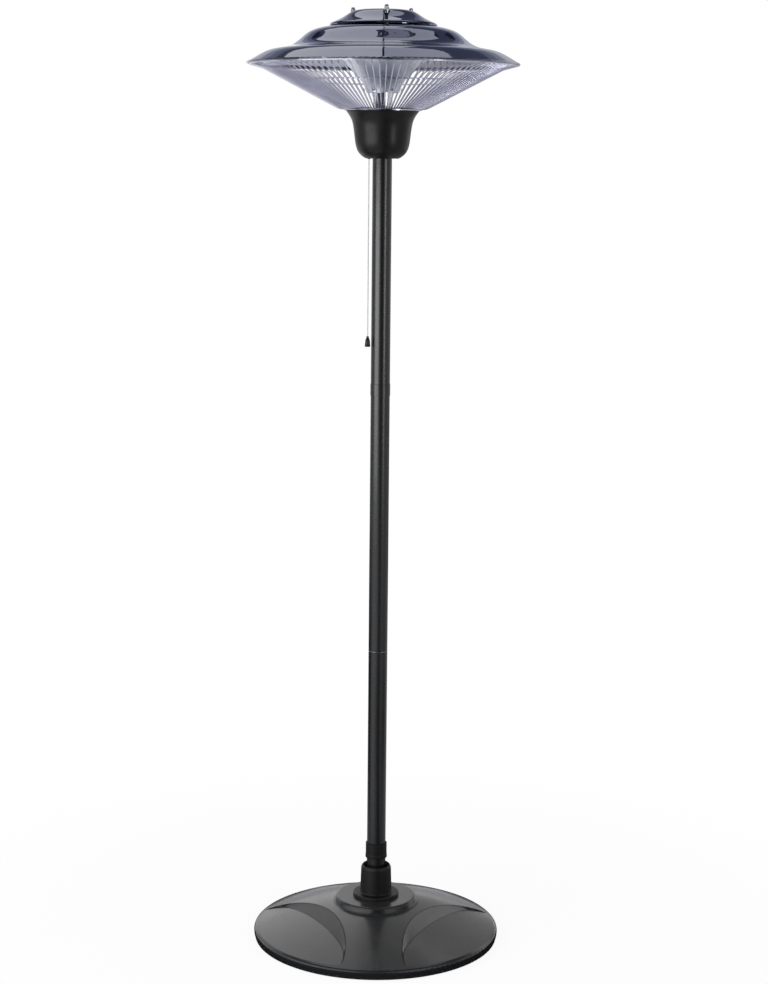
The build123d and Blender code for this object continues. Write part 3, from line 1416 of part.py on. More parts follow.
stud_bottom = hub_plate_bottom - seat_gap
with BuildPart() as cap_studs:
    with BuildSketch(Plane.XY.offset(stud_bottom)):
        with stud_places:
            Circle(stud_radius)
    extrude(amount=nut_bottom + nut_hex_height - stud_bottom)
    with BuildSketch(Plane.XY.offset(stud_bottom)):
        with stud_places:
            Circle(stud_spacer_radius)
    extrude(amount=-stud_head_height)
cap_studs.part.label = "cap_studs"
export_step(cap_studs.part, "parts/cap_studs.step")

dome_radius = nut_flats / 2 - nut_shoulder
with BuildPart() as acorn_nuts:
    with BuildSketch(Plane.XY.offset(nut_bottom)):
        with stud_places:
            RegularPolygon(nut_flats / 2, 6, major_radius=False)
    extrude(amount=nut_hex_height)
    with BuildSketch(Plane.XY.offset(nut_bottom + nut_hex_height)):
        with stud_places:
            Circle(dome_radius)
    extrude(amount=nut_height - nut_hex_height)
    fillet(acorn_nuts.edges().group_by(Axis.Z)[-1], dome_radius - nut_crown_flat)
    with BuildSketch(Plane.XY.offset(nut_bottom)):
        with stud_places:
            Circle(stud_radius + press_gap)
    extrude(amount=nut_hex_height + nut_wall / 2, mode=Mode.SUBTRACT)
acorn_nuts.part.label = "acorn_nuts"
export_step(acorn_nuts.part, "parts/acorn_nuts.step")


# ---------------------------------------------------------------- lamps
def lamp_ends(height):
    """Middle of each lamp at a height, and the direction from it towards either of the lamp's ends."""
    ends = []
    for index in range(lamp_count):
        angle = math.radians(lamp_first_angle + index * 360 / lamp_count)
        middle = Vector(lamp_circle_radius * math.cos(angle), lamp_circle_radius * math.sin(angle), height)
        along = Vector(-math.sin(angle), math.cos(angle), 0)
        ends += [(middle, along), (middle, along * -1)]
    return ends


def lamp_rod(radius, start, end, hollow=0.0):
    """Round pieces on each lamp's axis, from start to end either side of its middle."""
    with BuildPart() as rods:
        for middle, along in lamp_ends(lamp_height):
            with BuildSketch(Plane(origin=middle + along * start, z_dir=along)):
                Circle(radius)
                if hollow:
                    Circle(hollow, mode=Mode.SUBTRACT)
            extrude(amount=end - start)
    return rods.part


tube_half = lamp_tube_length / 2
lamp_tubes = lamp_rod(lamp_tube_radius, 0, tube_half, lamp_tube_radius - lamp_tube_wall)
lamp_tubes.label = "lamp_tubes"
export_step(lamp_tubes, "parts/lamp_tubes.step")

lamp_filaments = lamp_rod(filament_radius, 0, tube_half - filament_end_gap)
lamp_filaments.label = "lamp_filaments"
export_step(lamp_filaments, "parts/lamp_filaments.step")

lamp_end_caps = lamp_rod(end_cap_radius, tube_half + seat_gap, tube_half + end_cap_length)
lamp_end_caps.label = "lamp_end_caps"
export_step(lamp_end_caps, "parts/lamp_end_caps.step")

holder_start = tube_half + end_cap_length - holder_socket_depth
holder_top = lamp_height + holder_size / 2
bracket_reach = math.hypot(lamp_circle_radius, holder_start + holder_length) + bracket_width
bracket_top = profile_height(dish_profile, bracket_reach) - dish_sheet
with BuildPart() as lamp_holders:
    for middle, along in lamp_ends(lamp_height):
        holder_plane = Plane(origin=middle + along * holder_start, x_dir=(0, 0, 1), z_dir=along)
        with BuildSketch(holder_plane):
            RectangleRounded(holder_size, holder_size, holder_round)
        extrude(amount=holder_length)
        with BuildSketch(holder_plane):
            Circle(end_cap_radius + slide_gap)
        extrude(amount=holder_socket_depth + seat_gap, mode=Mode.SUBTRACT)
lamp_holders.part.label = "lamp_holders"
export_step(lamp_holders.part, "parts/lamp_holders.step")

with BuildPart() as lamp_brackets:
    for middle, along in lamp_ends(holder_top + seat_gap):
        bracket_middle = middle + along * (holder_start + holder_length / 2)
        with BuildSketch(Plane(origin=bracket_middle, x_dir=along, z_dir=(0, 0, 1))):
            Rectangle(bracket_width, bracket_width)
        extrude(amount=bracket_top - holder_top)
lamp_brackets.part.label = "lamp_brackets"
export_step(lamp_brackets.part, "parts/lamp_brackets.step")
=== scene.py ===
"""Infrared patio heater tower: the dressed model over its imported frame, in a plain pale studio.

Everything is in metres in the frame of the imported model: the floor at z = 0, the pole on the z axis,
the front towards -Y and the right-hand side towards +X.
"""

import json
import logging
import math
from dataclasses import dataclass
from enum import Enum
from typing import Any

import bpy
import numpy as np
from mathutils import Matrix, Quaternion, Vector


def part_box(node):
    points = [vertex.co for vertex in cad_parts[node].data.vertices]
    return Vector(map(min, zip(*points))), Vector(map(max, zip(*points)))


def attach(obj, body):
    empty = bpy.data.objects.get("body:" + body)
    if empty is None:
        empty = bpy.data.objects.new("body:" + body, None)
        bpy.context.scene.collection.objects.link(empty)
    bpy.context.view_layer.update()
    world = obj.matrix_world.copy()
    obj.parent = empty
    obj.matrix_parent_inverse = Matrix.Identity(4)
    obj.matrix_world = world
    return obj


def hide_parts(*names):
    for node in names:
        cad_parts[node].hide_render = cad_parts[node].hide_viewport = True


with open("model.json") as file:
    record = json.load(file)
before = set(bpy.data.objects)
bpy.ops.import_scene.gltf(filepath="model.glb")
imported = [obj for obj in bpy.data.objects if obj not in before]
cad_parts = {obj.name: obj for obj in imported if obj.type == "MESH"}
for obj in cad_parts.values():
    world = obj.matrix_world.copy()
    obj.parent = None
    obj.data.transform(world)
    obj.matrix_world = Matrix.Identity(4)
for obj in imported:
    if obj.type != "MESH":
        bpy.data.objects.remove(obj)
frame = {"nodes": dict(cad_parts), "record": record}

MM = 0.001
FULL_TURN = 2 * math.pi
FRONT = -math.pi / 2
# The sRGB curve: a straight foot below the knee, then a shifted power.
SRGB_KNEE = 0.04045
SRGB_FOOT_SLOPE = 12.92
SRGB_SHIFT = 0.055
SRGB_POWER = 2.4
# Wear: a dust colour for faces whose normal's z passes the limit, in clouds, and scuffs in fine specks.
DUST_COLOUR = "8C8A86"
DUST_LEAST_NORMAL_Z = 0.5
DUST_CLOUD_MM = 35.0
SCUFF_COLOUR = "77787A"
SCUFF_SPECK_MM = 4.0
SCUFF_FADE_IN = 0.6
SCUFF_FULL = 0.68
# Gloss changes this many times faster than colour, between these two levels of the noise.
GLOSS_PACE = 2.3
GLOSS_LOW_NOISE = 0.3
GLOSS_HIGH_NOISE = 0.7
# The relief of drawn tube changes this much more slowly along z than across.
DRAWN_STRETCH = 0.01
# The painted shade along a crease starts to show where a rounded normal leaves the true one by the first
# cosine; it is full at the second.
CREASE_NONE = 0.9993
CREASE_FULL = 0.988
CREASE_SAMPLES = 6
# The braid's strands each way, and the shift that brings the cord's axis to the origin.
CORD_STRANDS = 8
PULL_CORD_CENTRE = (0.029, 0.012, 0.0)
# A path whose direction has a z beyond this takes x as the helper for its circle, and not z.
NEARLY_UPRIGHT = 0.9
log = logging.getLogger("patio_heater")


# ---------------------------------------------------------------- helpers


def linear(hex_colour: str) -> tuple[float, float, float, float]:
    """Turns an sRGB hex colour into a linear one.

    Args:
        hex_colour: Six hex digits, such as "2B2D30".

    Returns:
        Linear red, green, blue and an alpha of 1.
    """
    parts = [int(hex_colour[i:i + 2], 16) / 255 for i in (0, 2, 4)]
    values = [
        p / SRGB_FOOT_SLOPE if p <= SRGB_KNEE else ((p + SRGB_SHIFT) / (1 + SRGB_SHIFT)) ** SRGB_POWER
        for p in parts
    ]
    return values[0], values[1], values[2], 1.0


def add_node(
    tree: bpy.types.NodeTree,
    kind: str,
    settings: dict[str, Any] | None = None,
    inputs: dict[str | int, Any] | None = None,
) -> bpy.types.Node:
    """Adds a node to a tree, sets its options, and fills or links its inputs.

    Args:
        tree: The node tree.
        kind: Blender's name for the node's type.
        settings: Options of the node by name.
        inputs: Values by input name or number; a socket as a value is linked.

    Returns:
        The new node.
    """
    node = tree.nodes.new(kind)
    for name, value in (settings or {}).items():
        setattr(node, name, value)
    for name, value in (inputs or {}).items():
        if isinstance(value, bpy.types.NodeSocket):
            tree.links.new(value, node.inputs[name])
        else:
            node.inputs[name].default_value = value
    return node


def mesh_piece(
    name: str, points: np.ndarray, faces: np.ndarray, smooth: bool = True
) -> bpy.types.Object:
    """Puts arrays of points and faces into a mesh object at the origin.

    Args:
        name: The piece's name.
        points: Points in metres, one row each.
        faces: Corner numbers, one row for each face, turned so that the face looks outwards.
        smooth: Whether the faces are shaded as one curved surface.

    Returns:
        The new object, linked to the scene.
    """
    mesh = bpy.data.meshes.new(name)
    mesh.from_pydata(points.tolist(), [], faces.tolist())
    mesh.polygons.foreach_set("use_smooth", np.full(len(mesh.polygons), smooth))
    mesh.update()
    piece = bpy.data.objects.new(name, mesh)
    bpy.context.scene.collection.objects.link(piece)
    return piece


def swept_tube(path: np.ndarray, radius: float, sides: int) -> tuple[np.ndarray, np.ndarray]:
    """Carries a circle along an open path and closes both ends with quads to a middle point.

    point(i, j) = path(i) + radius * (cos(t) * across(i) + sin(t) * over(i)), with t = 2 pi j / sides,
    where across and over are two unit vectors square to the path's direction at i.

    Args:
        path: Points of the centre line in metres, one row each.
        radius: The tube's radius in metres.
        sides: Number of sides of the tube.

    Returns:
        The points and the four-cornered faces.
    """
    along = np.gradient(path, axis=0)
    along /= np.linalg.norm(along, axis=1)[:, None]
    upright = np.abs(along[:, 2:3]) >= NEARLY_UPRIGHT
    helper = np.where(upright, [[1.0, 0.0, 0.0]], [[0.0, 0.0, 1.0]])
    across = np.cross(helper, along)
    across /= np.linalg.norm(across, axis=1)[:, None]
    over = np.cross(along, across)
    turn = np.linspace(0, FULL_TURN, sides, endpoint=False)
    rings = path[:, None] + radius * (
        np.cos(turn)[None, :, None] * across[:, None] + np.sin(turn)[None, :, None] * over[:, None]
    )
    rows = len(path)
    i, j = np.meshgrid(np.arange(rows - 1), np.arange(sides), indexing="ij")
    k = (j + 1) % sides
    wall = np.stack([i * sides + j, i * sides + k, (i + 1) * sides + k, (i + 1) * sides + j], -1)
    wall = wall.reshape(-1, 4)
    points = np.concatenate([rings.reshape(-1, 3), path[:1], path[-1:]])
    even = np.arange(0, sides, 2)
    first = np.stack([np.full(len(even), rows * sides), (even + 2) % sides, (even + 1) % sides, even], -1)
    base = (rows - 1) * sides
    last = np.stack([np.full(len(even), rows * sides + 1), base + even, base + even + 1,
                     base + (even + 2) % sides], -1)
    return points, np.concatenate([wall, first, last])


# ---------------------------------------------------------------- finishes


class Grain(Enum):
    """How the fine relief of a finish runs."""

    SPECKLE = "no direction, as powder coat, a spark-eroded mould or a casting"
    RINGS = "circles round the heater's axis, as sheet spun over a form"
    LINES = "up and down, as drawn tube"
    BRAID = "two crossing helices round the pull cord"


@dataclass(frozen=True)
class Finish:
    """A surface finish: colours, gloss and fine relief, with sizes in millimetres.

    colour and shade are the two ends of the slow colour change over mottle_mm. grain_mm is the pitch of
    the relief and grain_depth_mm its height. dust is the share of pale dust that lies on faces that look
    up, scuff_mm the height up to which shoes and mowers have rubbed the paint, and crease_shade_mm the
    width of the painted shade along each crease, where the shine is taken off.
    """

    name: str
    colour: str
    shade: str
    metallic: float = 0.0
    roughness: float = 0.5
    roughness_spread: float = 0.06
    mottle_mm: float = 60.0
    grain: Grain = Grain.SPECKLE
    grain_mm: float = 1.0
    grain_depth_mm: float = 0.02
    ior: float = 1.5
    specular: float = 0.5
    coat: float = 0.0
    coat_roughness: float = 0.05
    dust: float = 0.0
    scuff_mm: float = 0.0
    see_through: float = 0.0
    crease_shade_mm: float = 0.0

    def relief(self, tree: bpy.types.NodeTree, place: bpy.types.NodeSocket) -> bpy.types.NodeSocket:
        """Makes the height pattern of the fine relief.

        Args:
            tree: The material's node tree.
            place: Object coordinates.

        Returns:
            A height from 0 to 1.
        """
        pitch = 1 / (self.grain_mm * MM)
        if self.grain is Grain.SPECKLE:
            noise = add_node(tree, "ShaderNodeTexNoise", None,
                             {"Vector": place, "Scale": pitch, "Detail": 2.0, "Roughness": 0.5})
            return noise.outputs["Fac"]
        if self.grain is Grain.LINES:
            drawn = add_node(tree, "ShaderNodeMapping", None,
                             {"Vector": place, "Scale": (1.0, 1.0, DRAWN_STRETCH)})
            noise = add_node(tree, "ShaderNodeTexNoise", None,
                             {"Vector": drawn.outputs["Vector"], "Scale": pitch, "Detail": 2.0})
            return noise.outputs["Fac"]
        if self.grain is Grain.RINGS:
            flat = add_node(tree, "ShaderNodeMapping", None, {"Vector": place, "Scale": (1.0, 1.0, 0.0)})
            radius = add_node(tree, "ShaderNodeVectorMath", {"operation": "LENGTH"},
                              {0: flat.outputs["Vector"]})
            count = add_node(tree, "ShaderNodeMath", {"operation": "MULTIPLY"},
                             {0: radius.outputs["Value"], 1: pitch})
            noise = add_node(tree, "ShaderNodeTexNoise", {"noise_dimensions": "1D"},
                             {"W": count.outputs["Value"], "Scale": 1.0, "Detail": 2.0})
            return noise.outputs["Fac"]
        return self.braid(tree, place)

    def braid(self, tree: bpy.types.NodeTree, place: bpy.types.NodeSocket) -> bpy.types.NodeSocket:
        """Makes the height of a braid: sin(n a + z k) * sin(n a - z k), with a the angle round the cord.

        Args:
            tree: The material's node tree.
            place: Object coordinates.

        Returns:
            A height from 0 to 1.
        """
        centred = add_node(tree, "ShaderNodeMapping", None, {"Vector": place, "Location": PULL_CORD_CENTRE})
        parts = add_node(tree, "ShaderNodeSeparateXYZ", None, {"Vector": centred.outputs["Vector"]})
        angle = add_node(tree, "ShaderNodeMath", {"operation": "ARCTAN2"},
                         {0: parts.outputs["Y"], 1: parts.outputs["X"]})
        strands = add_node(tree, "ShaderNodeMath", {"operation": "MULTIPLY"},
                           {0: angle.outputs["Value"], 1: float(CORD_STRANDS)})
        climb = add_node(tree, "ShaderNodeMath", {"operation": "MULTIPLY"},
                         {0: parts.outputs["Z"], 1: FULL_TURN / (self.grain_mm * MM)})
        waves = []
        for operation in ("ADD", "SUBTRACT"):
            phase = add_node(tree, "ShaderNodeMath", {"operation": operation},
                             {0: strands.outputs["Value"], 1: climb.outputs["Value"]})
            wave = add_node(tree, "ShaderNodeMath", {"operation": "SINE"}, {0: phase.outputs["Value"]})
            waves.append(wave.outputs["Value"])
        crossed = add_node(tree, "ShaderNodeMath", {"operation": "MULTIPLY"}, {0: waves[0], 1: waves[1]})
        height = add_node(tree, "ShaderNodeMath", {"operation": "MULTIPLY_ADD"},
                          {0: crossed.outputs["Value"], 1: 0.5, 2: 0.5})
        return height.outputs["Value"]

    def worn(
        self, tree: bpy.types.NodeTree, place: bpy.types.NodeSocket, colour: bpy.types.NodeSocket
    ) -> bpy.types.NodeSocket:
        """Lays dust on the faces that look up and scuffs along the foot over a colour.

        Args:
            tree: The material's node tree.
            place: Object coordinates.
            colour: The colour of the clean finish.

        Returns:
            The colour with its wear.
        """
        if self.dust:
            facing = add_node(tree, "ShaderNodeNewGeometry")
            parts = add_node(tree, "ShaderNodeSeparateXYZ", None, {"Vector": facing.outputs["Normal"]})
            cloud = add_node(tree, "ShaderNodeTexNoise", None,
                             {"Vector": place, "Scale": 1 / (DUST_CLOUD_MM * MM), "Detail": 5.0})
            flatness = add_node(tree, "ShaderNodeMapRange", {"clamp": True},
                                {"Value": parts.outputs["Z"], "From Min": DUST_LEAST_NORMAL_Z,
                                 "From Max": 1.0, "To Max": self.dust})
            cover = add_node(tree, "ShaderNodeMath", {"operation": "MULTIPLY"},
                             {0: flatness.outputs["Result"], 1: cloud.outputs["Fac"]})
            mixed = add_node(tree, "ShaderNodeMix", {"data_type": "RGBA"},
                             {"Factor": cover.outputs["Value"], 6: colour, 7: linear(DUST_COLOUR)})
            colour = mixed.outputs[2]
        if self.scuff_mm:
            parts = add_node(tree, "ShaderNodeSeparateXYZ", None, {"Vector": place})
            low = add_node(tree, "ShaderNodeMapRange", {"clamp": True},
                           {"Value": parts.outputs["Z"], "From Min": self.scuff_mm * MM, "From Max": 0.0})
            marks = add_node(tree, "ShaderNodeTexNoise", None,
                             {"Vector": place, "Scale": 1 / (SCUFF_SPECK_MM * MM), "Detail": 6.0})
            sharp = add_node(tree, "ShaderNodeMapRange", {"clamp": True},
                             {"Value": marks.outputs["Fac"], "From Min": SCUFF_FADE_IN,
                              "From Max": SCUFF_FULL})
            cover = add_node(tree, "ShaderNodeMath", {"operation": "MULTIPLY"},
                             {0: low.outputs["Result"], 1: sharp.outputs["Result"]})
            mixed = add_node(tree, "ShaderNodeMix", {"data_type": "RGBA"},
                             {"Factor": cover.outputs["Value"], 6: colour, 7: linear(SCUFF_COLOUR)})
            colour = mixed.outputs[2]
        return colour

    def paint_crease_shade(self, tree: bpy.types.NodeTree, shader: bpy.types.Node) -> None:
        """Paints shade along the creases: takes the shine off where a rounded normal leaves the true one.

        Args:
            tree: The material's node tree.
            shader: The shader whose specular level and coat fall to nothing there.
        """
        rounded = add_node(tree, "ShaderNodeBevel", {"samples": CREASE_SAMPLES},
                           {"Radius": self.crease_shade_mm * MM})
        true = add_node(tree, "ShaderNodeNewGeometry")
        match = add_node(tree, "ShaderNodeVectorMath", {"operation": "DOT_PRODUCT"},
                         {0: rounded.outputs["Normal"], 1: true.outputs["Normal"]})
        for level, socket in ((self.specular, "Specular IOR Level"), (self.coat, "Coat Weight")):
            kept = add_node(tree, "ShaderNodeMapRange", {"clamp": True},
                            {"Value": match.outputs["Value"], "From Min": CREASE_FULL,
                             "From Max": CREASE_NONE, "To Min": 0.0, "To Max": level})
            tree.links.new(kept.outputs["Result"], shader.inputs[socket])

    def material(self) -> bpy.types.Material:
        """Builds the material from Object coordinates.

        Returns:
            The new material.
        """
        made = bpy.data.materials.new(self.name)
        made.use_nodes = True
        tree = made.node_tree
        tree.nodes.clear()
        coordinates = add_node(tree, "ShaderNodeTexCoord")
        place = coordinates.outputs["Object"]
        slow = add_node(tree, "ShaderNodeTexNoise", None,
                        {"Vector": place, "Scale": 1 / (self.mottle_mm * MM), "Detail": 4.0})
        colour = add_node(tree, "ShaderNodeMix", {"data_type": "RGBA"},
                          {"Factor": slow.outputs["Fac"], 6: linear(self.colour), 7: linear(self.shade)})
        rubbed = add_node(tree, "ShaderNodeTexNoise", None,
                          {"Vector": place, "Scale": GLOSS_PACE / (self.mottle_mm * MM), "Detail": 5.0})
        gloss = add_node(tree, "ShaderNodeMapRange", {"clamp": True},
                         {"Value": rubbed.outputs["Fac"], "From Min": GLOSS_LOW_NOISE,
                          "From Max": GLOSS_HIGH_NOISE,
                          "To Min": max(self.roughness - self.roughness_spread, 0.0),
                          "To Max": self.roughness + self.roughness_spread})
        bump = add_node(tree, "ShaderNodeBump", None,
                        {"Height": self.relief(tree, place), "Strength": 1.0,
                         "Distance": self.grain_depth_mm * MM})
        shader = add_node(tree, "ShaderNodeBsdfPrincipled", None,
                          {"Base Color": self.worn(tree, place, colour.outputs[2]),
                           "Roughness": gloss.outputs["Result"], "Normal": bump.outputs["Normal"],
                           "Metallic": self.metallic, "Transmission Weight": self.see_through,
                           "Coat Weight": self.coat, "Coat Roughness": self.coat_roughness})
        if not self.metallic:
            shader.inputs["IOR"].default_value = self.ior
            shader.inputs["Specular IOR Level"].default_value = self.specular
        if self.crease_shade_mm:
            self.paint_crease_shade(tree, shader)
        add_node(tree, "ShaderNodeOutputMaterial", None, {"Surface": shader.outputs["BSDF"]})
        return made


FINISHES = {
    # Polyester powder coat on pressed steel, cured glossy: faint orange peel, soft broad reflections.
    # Its creases carry a painted shade: the shine is taken off along them.
    "base_paint": Finish("glossy_powder_coat", "1B1C1E", "161719", roughness=0.24, roughness_spread=0.05,
                         mottle_mm=90, grain_mm=2.2, grain_depth_mm=0.025, coat=0.5, coat_roughness=0.16,
                         dust=0.06, scuff_mm=9, crease_shade_mm=4.0),
    # The same powder in a satin cure on drawn steel tube: a wide, slightly streaked highlight down the pole.
    "pole_paint": Finish("satin_powder_coat", "101112", "0C0D0E", roughness=0.28, roughness_spread=0.02,
                         mottle_mm=50, grain=Grain.LINES, grain_mm=1.6, grain_depth_mm=0.0015),
    # Matt black textured powder coat on steel: almost no reflection, fine salt-like grain.
    "collar_paint": Finish("matt_black_coat", "0F0F10", "0B0B0C", roughness=0.5, specular=0.25, mottle_mm=25,
                           grain_mm=0.9, grain_depth_mm=0.04),
    # Zinc plate on steel, blue passivated: pale metal with cloudy gloss.
    "zinc_steel": Finish("zinc_plated_steel", "B9BEC4", "A2A8B2", metallic=1.0, roughness=0.3, mottle_mm=9,
                         grain_mm=0.8, grain_depth_mm=0.01),
    # Sand-cast iron with a thin dip of black: coarse dull skin.
    "ballast_iron": Finish("cast_iron", "2E2D2C", "232221", metallic=0.6, roughness=0.75, mottle_mm=20,
                           grain_mm=1.8, grain_depth_mm=0.12),
    # Moulded rubber: dull, slightly dusty black.
    "foot_rubber": Finish("moulded_rubber", "1B1B1B", "242322", roughness=0.8, mottle_mm=8,
                          grain_mm=0.6, grain_depth_mm=0.02, dust=0.1, scuff_mm=5),
    # Glass-filled nylon from a spark-eroded mould: soft sheen broken by a fine grain.
    "black_plastic": Finish("moulded_nylon", "0F0F10", "0B0B0C", roughness=0.42, specular=0.3, mottle_mm=18,
                            grain_mm=0.7, grain_depth_mm=0.02),
    # Heat-proof PBT, satin mould: black with two soft highlights where it turns.
    "bowl_plastic": Finish("satin_moulded_pbt", "101011", "0C0C0D", roughness=0.34, roughness_spread=0.04,
                           specular=0.2, mottle_mm=30, grain_mm=0.8, grain_depth_mm=0.012),
    # ABS switch parts: smooth mould, faint haze.
    "switch_plastic": Finish("moulded_abs", "1C1D20", "151619", roughness=0.35, mottle_mm=12,
                             grain_mm=0.6, grain_depth_mm=0.01),
    # Turned brass: warm metal with a light tarnish.
    "brass_metal": Finish("turned_brass", "C8A45C", "A88446", metallic=1.0, roughness=0.28, mottle_mm=6,
                          grain_mm=0.4, grain_depth_mm=0.006),
    # Aluminium sheet spun to shape and buffed: bright, with circular tool lines and heat haze.
    "polished_aluminium": Finish("spun_aluminium", "CDD0DC", "B4B8C8", metallic=1.0, roughness=0.16,
                                 roughness_spread=0.06, mottle_mm=30, grain=Grain.RINGS, grain_mm=1.4,
                                 grain_depth_mm=0.012),
    # The same sheet left as spun on the funnel, bloomed by the lamps' heat: broad pale reflections.
    "funnel_aluminium": Finish("bloomed_aluminium", "E4E8EE", "D2D8E0", metallic=1.0, roughness=0.36,
                               roughness_spread=0.06, mottle_mm=24, grain=Grain.RINGS, grain_mm=1.6,
                               grain_depth_mm=0.012),
    # Bright chrome plate on tube: mirror with a trace of drawing lines.
    "chrome_tube": Finish("bright_chrome", "D9DADF", "C9CBD2", metallic=1.0, roughness=0.05,
                          roughness_spread=0.03, mottle_mm=25, grain=Grain.LINES, grain_mm=1.2,
                          grain_depth_mm=0.003),
    # Chrome plate on welded wire, dipped in one piece: silver with a lilac cast, hazier than the tube.
    "cage_chrome": Finish("chromed_wire", "E2E2F0", "CDCEE0", metallic=1.0, roughness=0.16,
                          roughness_spread=0.06, mottle_mm=16, grain_mm=1.0, grain_depth_mm=0.008),
    # Nickel plate on turned steel, dulled outdoors: pale, with soft dark sides.
    "nut_nickel": Finish("weathered_nickel", "D6D8DC", "C4C6CA", metallic=1.0, roughness=0.3,
                         roughness_spread=0.05, mottle_mm=5, grain_mm=0.5, grain_depth_mm=0.004),
    # Black chrome on deep-drawn steel: dark blue-grey mirror, smudged by hands and rain.
    "dark_chrome": Finish("black_chrome", "8A8D9B", "808392", metallic=1.0, roughness=0.045,
                          roughness_spread=0.03, mottle_mm=70, grain=Grain.RINGS, grain_mm=9.0,
                          grain_depth_mm=0.006),
    # Braided polyester cord over a core: pale grey, dull, with crossing strands.
    "cord_fabric": Finish("braided_polyester", "BDBDC2", "A9A9B0", roughness=0.75, mottle_mm=12,
                          grain=Grain.BRAID, grain_mm=3.2, grain_depth_mm=0.12),
    # Steatite, pressed and fired: warm white with a dull glaze.
    "ceramic_white": Finish("fired_steatite", "E4E0D6", "D6D1C5", roughness=0.45, mottle_mm=8,
                            grain_mm=0.7, grain_depth_mm=0.015),
    # Fused quartz tube, fire-polished: clear with the faintest smoke.
    "quartz_glass": Finish("fused_quartz", "F4F2F0", "E9E6E4", roughness=0.03, roughness_spread=0.02,
                           mottle_mm=30, grain=Grain.LINES, grain_mm=3.0, grain_depth_mm=0.004, ior=1.46,
                           see_through=1.0),
    # Drawn tungsten wire, wound hot: dark grey metal.
    "tungsten": Finish("wound_tungsten", "8C8783", "6F6A66", metallic=1.0, roughness=0.38, mottle_mm=4,
                       grain_mm=0.3, grain_depth_mm=0.004),
}


# Solids whose finish differs from the rest of their slot.
OWN_FINISH = {
    "acorn_nuts": "nut_nickel",
    "centre_funnel": "funnel_aluminium",
    "upper_joint_sleeve": "pole_paint",
    "pole_screws": "collar_paint",
}


@dataclass
class Wardrobe:
    """Dresses the frame's own solids, and hands out the finishes to new pieces."""

    materials: dict[str, bpy.types.Material]

    @classmethod
    def stocked(cls) -> "Wardrobe":
        """Builds every finish once."""
        return cls({slot: finish.material() for slot, finish in FINISHES.items()})

    def dress_frame(self) -> int:
        """Gives each solid of the frame the finish of its material slot, or the one in OWN_FINISH.

        Returns:
            The number of solids dressed.
        """
        slots = {part["node"]: part["material_slot"] for part in frame["record"]["subparts"]} | OWN_FINISH
        for name, piece in frame["nodes"].items():
            for holder in piece.material_slots:
                holder.material = self.materials[slots[name]]
        return len(slots)

    def dress(self, piece: bpy.types.Object, slot: str, body: str = "stand") -> bpy.types.Object:
        """Gives a new piece the finish of a record's material slot, and the body it rides on.

        Args:
            piece: The new piece.
            slot: The record's material slot.
            body: The body that it moves with.

        Returns:
            The same piece.
        """
        piece.data.materials.append(self.materials[slot])
        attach(piece, body)
        log.info("built %s in %s", piece.name, slot)
        return piece


# ---------------------------------------------------------------- camera, cord and small pieces


@dataclass
class PhotoCamera:
    """The camera at the photograph's viewpoint: distances in metres, angles in radians."""

    distance: float = 4.530
    height: float = 1.782
    pitch: float = 0.1626
    yaw: float = 0.0023
    roll: float = 0.0092
    focal_pixels: float = 2049.0
    long_side_pixels: float = 984.0
    sensor_mm: float = 36.0

    def build(self) -> bpy.types.Object:
        """Adds the camera and makes it the scene's own.

        Returns:
            The camera object.
        """
        forward = Vector((math.sin(self.yaw) * math.cos(self.pitch),
                          math.cos(self.yaw) * math.cos(self.pitch), -math.sin(self.pitch)))
        level = Vector((math.cos(self.yaw), -math.sin(self.yaw), 0.0))
        upright = level.cross(forward)
        right = math.cos(self.roll) * level + math.sin(self.roll) * upright
        up = math.cos(self.roll) * upright - math.sin(self.roll) * level
        data = bpy.data.cameras.new("photo_camera")
        data.sensor_width = self.sensor_mm
        data.lens = self.focal_pixels * self.sensor_mm / self.long_side_pixels
        camera = bpy.data.objects.new("photo_camera", data)
        turn = Matrix((right, up, -forward)).transposed().to_4x4()
        camera.matrix_world = Matrix.Translation((0.0, -self.distance, self.height)) @ turn
        bpy.context.scene.collection.objects.link(camera)
        bpy.context.scene.camera = camera
        return camera


@dataclass
class PullCord:
    """The cord that works the switch: a plain drop from the hook in the bowl to the bell knob, in metres.

    The curve has a point end_diameters times its diameter from each end, so that its ends stay straight.
    """

    x: float = -0.029
    y: float = -0.012
    hook: float = 1.789
    knob: float = 1.389
    diameter: float = 0.0024
    end_diameters: float = 6.0

    def build(self, wardrobe: Wardrobe) -> bpy.types.Object:
        """Args:
            wardrobe: The finishes.

        Returns:
            The cord.
        """
        data = bpy.data.curves.new("pull_cord_braid", "CURVE")
        data.dimensions = "3D"
        data.bevel_depth = self.diameter / 2
        data.bevel_resolution = 4
        data.use_fill_caps = True
        near_hook = self.hook - self.end_diameters * self.diameter
        near_knob = self.knob + self.end_diameters * self.diameter
        heights = (self.hook, near_hook, near_knob, self.knob)
        line = data.splines.new("NURBS")
        line.points.add(len(heights) - 1)
        for point, height in zip(line.points, heights):
            point.co = (self.x, self.y, height, 1.0)
        line.order_u = 3
        line.use_endpoint_u = True
        cord = bpy.data.objects.new("pull_cord_braid", data)
        bpy.context.scene.collection.objects.link(cord)
        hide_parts("pull_cord")
        return wardrobe.dress(cord, "cord_fabric", "pull")


